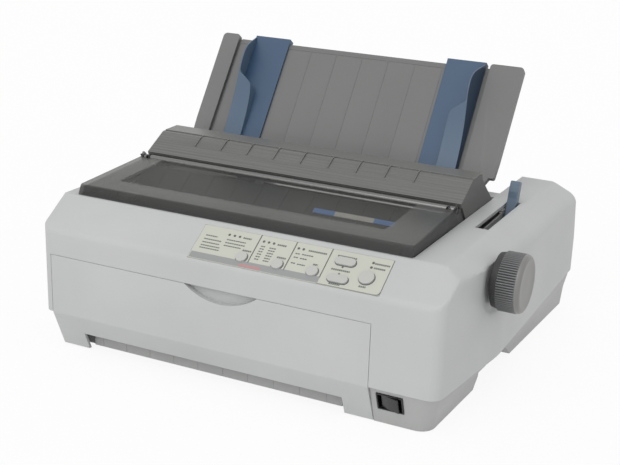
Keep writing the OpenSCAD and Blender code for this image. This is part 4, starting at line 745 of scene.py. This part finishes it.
class PRINTER_OT_tension_cover(bpy.types.Operator):
    """Ribbed tension cover"""

    bl_idname = "printer.tension_cover"
    bl_label = "Tension cover"

    def execute(self, context):
        piece = dress("tension_cover", 0.0005, 3, finish="lined_dark")
        # End faces get the painted shade, a darker copy of the hood colour
        repaint(
            piece,
            lambda middle, normal: 1 if abs(normal.x) > 0.9 and middle.z > 0.1 else 0,
            "hood_end",
        )
        lo, hi = case_box("tension_cover")
        x0, x1 = HOOD_X
        # Flat band along the top, a little proud of the ribbed front, in painted light: a lighter
        # copy of the hood colour
        bm = bmesh.new()
        low = (x0 + 0.3, lo.y + BAND_FROM, hi.z - 1.2)
        box_between(bm, at, low, (x1 - 0.3, lo.y + BAND_TO, hi.z - 0.05))
        band = put("tension_cover_band", bm, "hood_lip_painted_light", "tension_cover")
        soften(band, 0.0005, 3)
        # Rolled lip at its rear edge, in the same painted light
        bm = bmesh.new()
        along = (x0 + 0.4, (x0 + x1) / 2, x1 - 0.4)
        wire(bm, [at(x, lo.y + LIP_FROM, hi.z - 1.25) for x in along], LIP_R * MM, sides=12)
        put("tension_cover_lip", bm, "hood_lip_painted_light", "tension_cover")
        return {"FINISHED"}


STOP_WIDTH = 20.3
# Along a stop: place up the guide, height out of its face, share of the full width
STOP_STATIONS = (
    (-1.9, 6.6, 1.0), (10, 7.4, 1.0), (20, 8.6, 1.0), (30, 10.2, 0.99), (38, 11.8, 0.98),
    (45, 13.6, 0.96), (51, 15.4, 0.92), (54, 16.4, 0.86), (56.5, 17.2, 0.72), (60, 18.4, 0.48),
    (63, 19.4, 0.26), (65.5, 20.2, 0.07), (70, 21.8, 0.07), (76, 23.2, 0.07), (83, 23.6, 0.07),
    (89, 22.4, 0.07), (94, 19.8, 0.07), (98.5, 16.0, 0.07), (103, 11.2, 0.07), (107, 6.8, 0.07),
    (110.4, 3.2, 0.07),
)


class PRINTER_OT_sheet_guide(bpy.types.Operator):
    """Raised sheet guide and its two edge guides"""

    bl_idname = "printer.sheet_guide"
    bl_label = "Sheet guide"

    def execute(self, context):
        dress("sheet_guide", 0.0007, 3)
        for node, side in (("edge_guide_left", -1), ("edge_guide_right", 1)):
            lo, hi = case_box(node)
            bm = solid_copy(node)
            # The plate's own thickness. The stop on it is the next piece.
            out = (on_guide(0, 0, 1) - on_guide(0, 0, 0)).normalized()
            bmesh.ops.bisect_plane(
                bm, geom=bm.verts[:] + bm.edges[:] + bm.faces[:], dist=1e-6,
                plane_co=on_guide(0, 0, PLATE_TOP - 0.02), plane_no=out, clear_outer=True,
            )
            bmesh.ops.holes_fill(bm, edges=[e for e in bm.edges if e.is_boundary], sides=0)
            bmesh.ops.recalc_face_normals(bm, faces=bm.faces)
            piece = put(node + "_plate", bm, "guide_deep", node, (node,))
            soften(piece, 0.0005, 3)
            # Outward side faces of the plate get the painted shade, a darker copy of the plates'
            # blue
            repaint(piece, lambda middle, normal: 1 if normal.x * side > 0.9 else 0, "guide_painted_shade")
            self.stop(node, lo.x if side < 0 else hi.x, side)
        return {"FINISHED"}

    def stop(self, node, outer, side):
        """Ramp for the paper's edge, drawn up into a thin wing that curves back at the top."""
        bm = bmesh.new()
        loops = []
        for v, rise, broad in STOP_STATIONS:
            lean = 0.17 * (rise - PLATE_TOP)
            across = max(1.5, broad * STOP_WIDTH)
            foot = PLATE_TOP - 0.4
            corners = (
                (outer - side * 0.05, foot),
                (outer - side * lean, rise),
                (outer - side * max(across, lean + 1.3), rise),
                (outer - side * across, foot),
            )
            verts = [bm.verts.new(on_guide(x, v, w)) for x, w in corners]
            loops.append([bm.edges.new(pair) for pair in zip(verts, verts[1:] + verts[:1])])
        loft(bm, loops)
        piece = put(node + "_stop", bm, "guide_blue", node, sharp_at=40.0)
        # Outward side faces of the stop get the same painted shade
        repaint(piece, lambda middle, normal: 1 if normal.x * side > 0.8 else 0, "guide_painted_shade")
        soften(piece, 0.0007, 3)


# Middle of each key: share of the plate's width and of its height
KEY_PLACES = {
    "font_key": (0.269, 0.331),
    "pitch_key": (0.4586, 0.331),
    "tear_off_key": (0.6414, 0.331),
    "load_key": (0.7759, 0.757),
    "line_feed_key": (0.7759, 0.265),
    "pause_key": (0.9063, 0.45),
}
# Lines between the groups of keys: share of the plate's width
GROUP_LINES = (0.3121, 0.5023, 0.6885)
# Rows of small dashes where such a panel has words: left end, right end, height up the slant
LEGEND_ROWS = (
    [(5.5, 5.5 + w, v) for w, v in ((11, 27.1), (17, 23.2), (16, 19.7), (18, 16.4), (19, 13.7))]
    + [(26.0, 26.0 + w, v) for w, v in ((18, 26.5), (19, 23.2), (16, 20.1))]
    + [(58.3, 62.8, 26.6 - 2.75 * i) for i in range(6)]
    + [(66.3, 72.4 - 0.2 * i, 26.4 - 2.75 * i) for i in range(6)]
    + [(90.5, 94.3, v) for v in (26.2, 22.3, 16.3)]
    + [(96.3, 96.3 + w, v) for w, v in ((10.3, 26.4), (6, 22.2), (7, 16.0))]
)
WORD_ROWS = (
    (39.5, 47.2, 31.3), (71.8, 80.7, 31.2), (100.3, 116.7, 31.4), (126.4, 143.7, 32.3),
    (126.0, 142.2, 18.4), (129.6, 139.0, 4.2), (44.6, 52.6, 18.9), (76.8, 84.7, 18.9),
    (109.7, 113.6, 18.9), (159.3, 172.1, 31.3), (159.9, 169.6, 26.9), (154.5, 160.4, 7.0),
)
MARK_DOTS = ((134.6, 21.8), (134.3, 14.8))
DOT_R = 0.9
# Height of the printed marks over the plate, and the width and corner radius of the outer line
PRINT_RISE = 0.04
LINE_WIDTH, CORNER_R = 0.45, 4.0
# Shade round a key, in millimetres: the hidden flange of the key, half the height of an oblong
# key, the shade's rim past the key, its shift down and to the right, its height over the plate
KEY_FLANGE, OBLONG_KEY_HALF = 1.2, 3.8
SHADE_RIM, SHADE_SHIFT, SHADE_RISE = 0.55, 0.45, 0.02


class PRINTER_OT_panel(bpy.types.Operator):
    """Control panel: plate, printed lines, keys and indicator lamps"""

    bl_idname = "printer.panel"
    bl_label = "Control panel"

    def execute(self, context):
        dress("control_panel", 0.0002)
        dress("indicator_lenses", 0.0002)
        for node in KEY_PLACES:
            dress(node, 0.0005, 3)
        self.print_frame()
        self.print_bands()
        self.print_marks()
        self.key_shades()
        return {"FINISHED"}

    def print_frame(self):
        """Line along the plate's right and lower edge, and the lines between the groups."""
        bm = bmesh.new()
        top = PANEL_FOOT + PANEL_H
        for low, high in (
            ((PANEL_W - LINE_WIDTH, PANEL_FOOT + 3.4), (PANEL_W, top)),
            ((GROUP_LINES[2] * PANEL_W, PANEL_FOOT), (PANEL_W - 3.4, PANEL_FOOT + LINE_WIDTH)),
        ):
            box_between(bm, on_panel, (*low, 0.0), (*high, PRINT_RISE))
        for across in GROUP_LINES:
            u = across * PANEL_W
            low = (u - 0.35, PANEL_FOOT + 6.0, 0.0)
            box_between(bm, on_panel, low, (u + 0.35, top, PRINT_RISE))
        # Quarter ring at the rounded lower right corner
        quarter = [math.radians(a) for a in range(-90, 1, 15)]
        middle = (PANEL_W - CORNER_R, PANEL_FOOT + CORNER_R)
        lift = on_panel(0, 0, PRINT_RISE) - on_panel(0, 0)
        for a, b in zip(quarter, quarter[1:]):
            ring = ((3.45, a), (CORNER_R, a), (CORNER_R, b), (3.45, b))
            corners = [(middle[0] + r * math.cos(t), middle[1] + r * math.sin(t)) for r, t in ring]
            face = bm.faces.new([bm.verts.new(on_panel(*corner)) for corner in corners])
            made = bmesh.ops.extrude_face_region(bm, geom=[face])
            for v in (e for e in made["geom"] if isinstance(e, bmesh.types.BMVert)):
                v.co += lift
        bmesh.ops.remove_doubles(bm, verts=bm.verts, dist=0.000002)
        bmesh.ops.recalc_face_normals(bm, faces=bm.faces)
        put("panel_lines", bm, "panel_print", "control_panel")

    def print_bands(self):
        """Grey band along the plate's foot, and the red accent on it."""
        bm = bmesh.new()
        high = (GROUP_LINES[2] * PANEL_W, 8.4, 0.03)
        box_between(bm, on_panel, (0.7, PANEL_FOOT + 0.4, 0.0), high)
        put("panel_band", bm, "panel_band", "control_panel")
        bm = bmesh.new()
        box_between(bm, on_panel, (48.0, 2.6, 0.01), (68.0, 5.2, 0.05))
        put("panel_accent", bm, "panel_red", "control_panel")

    def print_marks(self):
        """Dashes in place of words, and two dots beside keys."""
        bm = bmesh.new()
        for rows, height, dash, gap in ((LEGEND_ROWS, 1.15, 1.7, 0.4), (WORD_ROWS, 1.7, 1.3, 0.4)):
            for start, end, v in rows:
                u = start
                while u < end - 0.4:
                    stop = min(u + dash, end)
                    low = (u, v - height / 2, 0.0)
                    box_between(bm, on_panel, low, (stop, v + height / 2, PRINT_RISE))
                    u = stop + gap
        for u, v in MARK_DOTS:
            made = bmesh.ops.create_circle(bm, cap_ends=True, radius=DOT_R * MM, segments=16)
            for vert in made["verts"]:
                vert.co = on_panel(u + vert.co.x / MM, v + vert.co.y / MM, PRINT_RISE)
        put("panel_marks", bm, "panel_print", "control_panel")

    def key_shades(self):
        """Dark crescents beside the keys, where the openings round them lie in shade."""
        bm = bmesh.new()
        for node, (across, up) in KEY_PLACES.items():
            lo, hi = case_box(node)
            wide = (hi.x - lo.x) / 2 - KEY_FLANGE + SHADE_RIM
            tall = OBLONG_KEY_HALF + SHADE_RIM if node in ("load_key", "line_feed_key") else wide
            made = bmesh.ops.create_circle(bm, cap_ends=True, radius=tall * MM, segments=40)
            for v in made["verts"]:
                u, w = v.co.x / MM, v.co.y / MM
                u += math.copysign(wide - tall, u) if abs(u) > 1e-6 else 0.0
                v.co = on_panel(
                    across * PANEL_W + u + SHADE_SHIFT, up * PANEL_H + w - SHADE_SHIFT, SHADE_RISE
                )
        put("key_shades", bm, "key_shade", "control_panel")


class PRINTER_OT_knob(bpy.types.Operator):
    """Ribbed platen knob"""

    bl_idname = "printer.knob"
    bl_label = "Platen knob"

    def execute(self, context):
        looks = context.scene.printer_knob
        lo, hi = case_box("platen_knob")
        centre = (lo + hi) / 2
        radius = (hi.z - lo.z) / 2
        depth = hi.x - lo.x
        # Stations along the axis: distance, radius, share of the rib height kept
        ribbed = (
            (1.6, radius - 3.0, 0.0), (1.9, radius - 0.9, 0.6), (2.6, radius - 0.1, 1.0),
            (depth - 5.2, radius, 1.0), (depth - 4.6, radius - 0.1, 0.5),
        )
        # Shoulder and dished face: distance from the outer end, distance in from the rim
        smooth = (
            (4.0, 0.3), (2.4, 0.7), (1.1, 1.5), (0.35, 2.6), (0.0, 4.0), (0.15, 5.4), (0.6, 9.0),
            (0.8, 15.0), (0.7, 21.0),
        )
        stations = (*ribbed, *((depth - back, radius - inset, 0.0) for back, inset in smooth))
        bm = bmesh.new()
        loops = []
        for along, r, kept in stations:
            made = bmesh.ops.create_circle(bm, cap_ends=False, radius=1.0, segments=looks.ribs * 6)
            for v in made["verts"]:
                angle = math.atan2(v.co.y, v.co.x)
                # The power below 1 makes the crests broader than the grooves between them
                crest = abs(math.cos(angle * looks.ribs / 2)) ** 0.7
                reach = r - looks.rib_depth / MM * (1 - crest) * kept
                v.co = at(
                    lo.x + along,
                    centre.y + reach * math.cos(angle),
                    centre.z + reach * math.sin(angle),
                )
            loops.append(loop_edges(made["verts"]))
        loft(bm, loops)
        piece = put("platen_knob_grip", bm, "knob_grey", "platen_knob", ("platen_knob",), 40.0)
        rim = at(lo.x + depth - 4.3, 0, 0).x
        repaint(piece, lambda middle, normal: 1 if middle.x > rim else 0, "knob_face")
        # Black hub that fills the gap between the grip and the dish in the case; its black is
        # painted shade of that gap
        bm = bmesh.new()
        turned(
            bm, lambda x, y, z: at(lo.x + x, centre.y + y, centre.z + z),
            (
                (-3.6, 0.0), (-3.6, 17.0), (-3.0, radius - 2.2), (1.2, radius - 1.2),
                (2.4, radius - 1.2), (2.4, 0.0),
            ),
        )
        put("platen_knob_hub", bm, "black_matte", "platen_knob")
        return {"FINISHED"}


# The lever slot in case coordinates, and how its lining stands round it
SLOT_X = (155.8, 168.2)
SLOT_Y = (144.5, 241.5)
LINING_Z = (104.0, 126.0)
LINING_NEAR, LINING_FAR = 0.05, 1.6


class PRINTER_OT_levers(bpy.types.Operator):
    """Release lever in the shoulder and paper thickness lever under the cover"""

    bl_idname = "printer.levers"
    bl_label = "Levers"

    def execute(self, context):
        dress("release_lever", 0.0008, 3, finish="lever_blue")
        self.slot_lining()
        dress("thickness_lever", 0.0005)
        return {"FINISHED"}

    def slot_lining(self):
        """Thin walls that go down from the lever slot's edge."""
        (x0, x1), (y0, y1), (z0, z1) = SLOT_X, SLOT_Y, LINING_Z
        near, far = LINING_NEAR, LINING_FAR
        bm = bmesh.new()
        for low, high in (
            ((x0 - far, y0 - far, z0), (x0 - near, y1 + far, z1)),
            ((x1 + near, y0 - far, z0), (x1 + far, y1 + far, z1)),
            ((x0 - far, y0 - far, z0), (x1 + far, y0 - near, z1)),
        ):
            box_between(bm, at, low, high)
        put("lever_slot_lining", bm, "case_grey", "upper_case")


class PRINTER_OT_print_unit(bpy.types.Operator):
    """Platen, carriage, print head and ribbon, as seen through the smoked cover"""

    bl_idname = "printer.print_unit"
    bl_label = "Print unit"

    def execute(self, context):
        dress_all(
            {
                "platen_roller": 0.4, "platen_shaft": 0.3, "platen_bushings": 0.2, "carriage": 0.4,
                "print_head": 0.4, "head_heat_sink": 0.15, "ribbon_cartridge": 0.6,
                "ribbon_knob": 0.3, "carriage_rod": 0.3, "carriage_rail": 0.2,
                "carriage_belt": 0.15, "carriage_motor": 0.3, "drive_pulley": 0.2,
                "tension_pulley": 0.2, "paper_exit_guide": 0.3, "platen_gear": 0.1,
                "idler_gear": 0.1, "feed_pinion": 0.1, "ink_ribbon": 0.05, "feed_motor": 0.3,
            }
        )
        return {"FINISHED"}


class PRINTER_OT_tractors(bpy.types.Operator):
    """Push tractors with their shafts and sprockets"""

    bl_idname = "printer.tractors"
    bl_label = "Tractors"

    def execute(self, context):
        dress_all(
            {
                "tractor_left": 0.5, "tractor_right": 0.5, "tractor_door_left": 0.4,
                "tractor_door_right": 0.4, "sprocket_left": 0.2, "sprocket_right": 0.2,
                "tractor_shaft": 0.15, "tractor_rod": 0.3,
            }
        )
        return {"FINISHED"}


class PRINTER_OT_inner_frame(bpy.types.Operator):
    """Steel frames, main board and power supply"""

    bl_idname = "printer.inner_frame"
    bl_label = "Inner frame"

    def execute(self, context):
        dress_all(
            {
                "left_side_frame": 0.2, "right_side_frame": 0.2, "base_frame": 0.25,
                "main_board": 0.15, "power_supply": 0.3,
            }
        )
        return {"FINISHED"}


# Camera: turn to the left, tilt down, roll, and place in case coordinates
CAMERA_YAW, CAMERA_PITCH, CAMERA_ROLL = (math.radians(a) for a in (25.586, 19.125, 1.815))
CAMERA_PLACE = (458.27, -815.67, 472.50)
SENSOR_WIDTH = 36.0
# Lamps: angle that each fills in the sky, and the way to it
SUN_SPREAD, LOW_LAMP_SPREAD = math.radians(50), math.radians(3)
SUN_TURN = (math.radians(38), math.radians(2), 0.0)
LOW_LAMP_FROM = (-0.247, -0.966, 0.085)
FLOOR_HALF = 6.0


class PRINTER_OT_stage(bpy.types.Operator):
    """Camera, lamps, world and floor"""

    bl_idname = "printer.stage"
    bl_label = "Stage"

    def execute(self, context):
        scene = context.scene
        looks = scene.printer_stage
        scene.view_settings.view_transform = "Standard"
        camera = self.camera(scene, looks)
        self.world(scene, looks)
        low_turn = Vector(LOW_LAMP_FROM).to_track_quat("Z", "Y").to_euler()
        sun = self.lamp(scene, "Sun", looks.sun, SUN_SPREAD, SUN_TURN)
        low = self.lamp(scene, "LowLamp", looks.low_lamp, LOW_LAMP_SPREAD, low_turn)
        self.floor(scene, looks)
        return {"FINISHED"}

    def lamp(self, scene, name, energy, spread_angle, turn):
        lamp = bpy.data.objects.new(name, bpy.data.lights.new(name, "SUN"))
        lamp.data.energy = energy
        lamp.data.angle = spread_angle
        lamp.rotation_euler = turn
        scene.collection.objects.link(lamp)
        return lamp

    def camera(self, scene, looks):
        """Camera at the place from which the photograph was taken."""
        level = math.cos(CAMERA_PITCH)
        ahead = Vector(
            (-math.sin(CAMERA_YAW) * level, math.cos(CAMERA_YAW) * level, -math.sin(CAMERA_PITCH))
        )
        across = Vector((math.cos(CAMERA_YAW), math.sin(CAMERA_YAW), 0.0))
        above = across.cross(ahead)
        right = across * math.cos(CAMERA_ROLL) + above * math.sin(CAMERA_ROLL)
        top = above * math.cos(CAMERA_ROLL) - across * math.sin(CAMERA_ROLL)
        camera = bpy.data.objects.new("Camera", bpy.data.cameras.new("Camera"))
        camera.data.lens = looks.lens
        camera.data.sensor_width = SENSOR_WIDTH
        camera.data.clip_start, camera.data.clip_end = 0.05, 20.0
        turned_to = Matrix((right, top, -ahead)).transposed().to_4x4()
        camera.matrix_world = Matrix.Translation(at(*CAMERA_PLACE)) @ turned_to
        scene.collection.objects.link(camera)
        scene.camera = camera
        return camera

    def seen_rays(self, tree):
        """1 for rays from the camera and for rays that come by glossy or clear surfaces."""
        path = add_node(tree, "LightPath").outputs
        direct = combine(tree, "MAXIMUM", path["Is Camera Ray"], path["Is Glossy Ray"])
        return combine(tree, "MAXIMUM", direct, path["Is Transmission Ray"])

    def world(self, scene, looks):
        """Even light from all round, and plain white where the world itself is seen."""
        world = bpy.data.worlds.new("EvenLight")
        world.use_nodes = True
        tree = world.node_tree
        tree.nodes.clear()
        even = add_node(tree, "Background", Color=(1, 1, 1, 1), Strength=looks.world)
        seen = add_node(tree, "Background", Color=(1, 1, 1, 1), Strength=1.0)
        out = add_node(tree, "OutputWorld")
        mix_shaders(tree, self.seen_rays(tree), even, seen, out)
        scene.world = world

    def floor(self, scene, looks):
        """Nearly white floor, which keeps the printer's shadow."""
        bm = bmesh.new()
        bmesh.ops.create_grid(bm, x_segments=1, y_segments=1, size=FLOOR_HALF)
        mesh = bpy.data.meshes.new("Floor")
        bm.to_mesh(mesh)
        bm.free()
        floor = bpy.data.objects.new("Floor", mesh)
        scene.collection.objects.link(floor)
        material, tree, shader, out = fresh_material("PaleFloor")
        shader.inputs["Base Color"].default_value = (0.95, 0.95, 0.95, 1.0)
        shader.inputs["Roughness"].default_value = 0.9
        shader.inputs["Specular IOR Level"].default_value = 0.0
        white = add_node(tree, "Emission", Color=(1, 1, 1, 1), Strength=1.0)
        much = add_node(tree, "Math")
        much.operation = "MULTIPLY"
        tree.links.new(self.seen_rays(tree), much.inputs[0])
        much.inputs[1].default_value = looks.white
        mix_shaders(tree, much.outputs[0], shader, white, out)
        mesh.materials.append(material)
        return floor


class PRINTER_PT_sidebar(bpy.types.Panel):
    """The printer's settings and its build steps"""

    bl_idname = "PRINTER_PT_sidebar"
    bl_label = "Printer"
    bl_space_type = "VIEW_3D"
    bl_region_type = "UI"
    bl_category = "Printer"

    def draw(self, context):
        for name, group in SETTINGS.items():
            column = self.layout.column(align=True)
            for prop in group.__annotations__:
                column.prop(getattr(context.scene, name), prop)
        for step in STEPS:
            self.layout.operator(step.bl_idname)


STEPS = (
    PRINTER_OT_case, PRINTER_OT_front, PRINTER_OT_smoked_cover, PRINTER_OT_tension_cover,
    PRINTER_OT_sheet_guide, PRINTER_OT_panel, PRINTER_OT_knob, PRINTER_OT_levers,
    PRINTER_OT_print_unit, PRINTER_OT_tractors, PRINTER_OT_inner_frame, PRINTER_OT_stage,
)
CLASSES = (*SETTINGS.values(), *STEPS, PRINTER_PT_sidebar)


def register():
    for cls in CLASSES:
        bpy.utils.register_class(cls)
    for name, group in SETTINGS.items():
        setattr(bpy.types.Scene, name, PointerProperty(type=group))


def unregister():
    for name in SETTINGS:
        delattr(bpy.types.Scene, name)
    for cls in reversed(CLASSES):
        bpy.utils.unregister_class(cls)


def main():
    register()
    for step in STEPS:
        group, verb = step.bl_idname.split(".")
        getattr(getattr(bpy.ops, group), verb)()


if __name__ == "__main__":
    main()
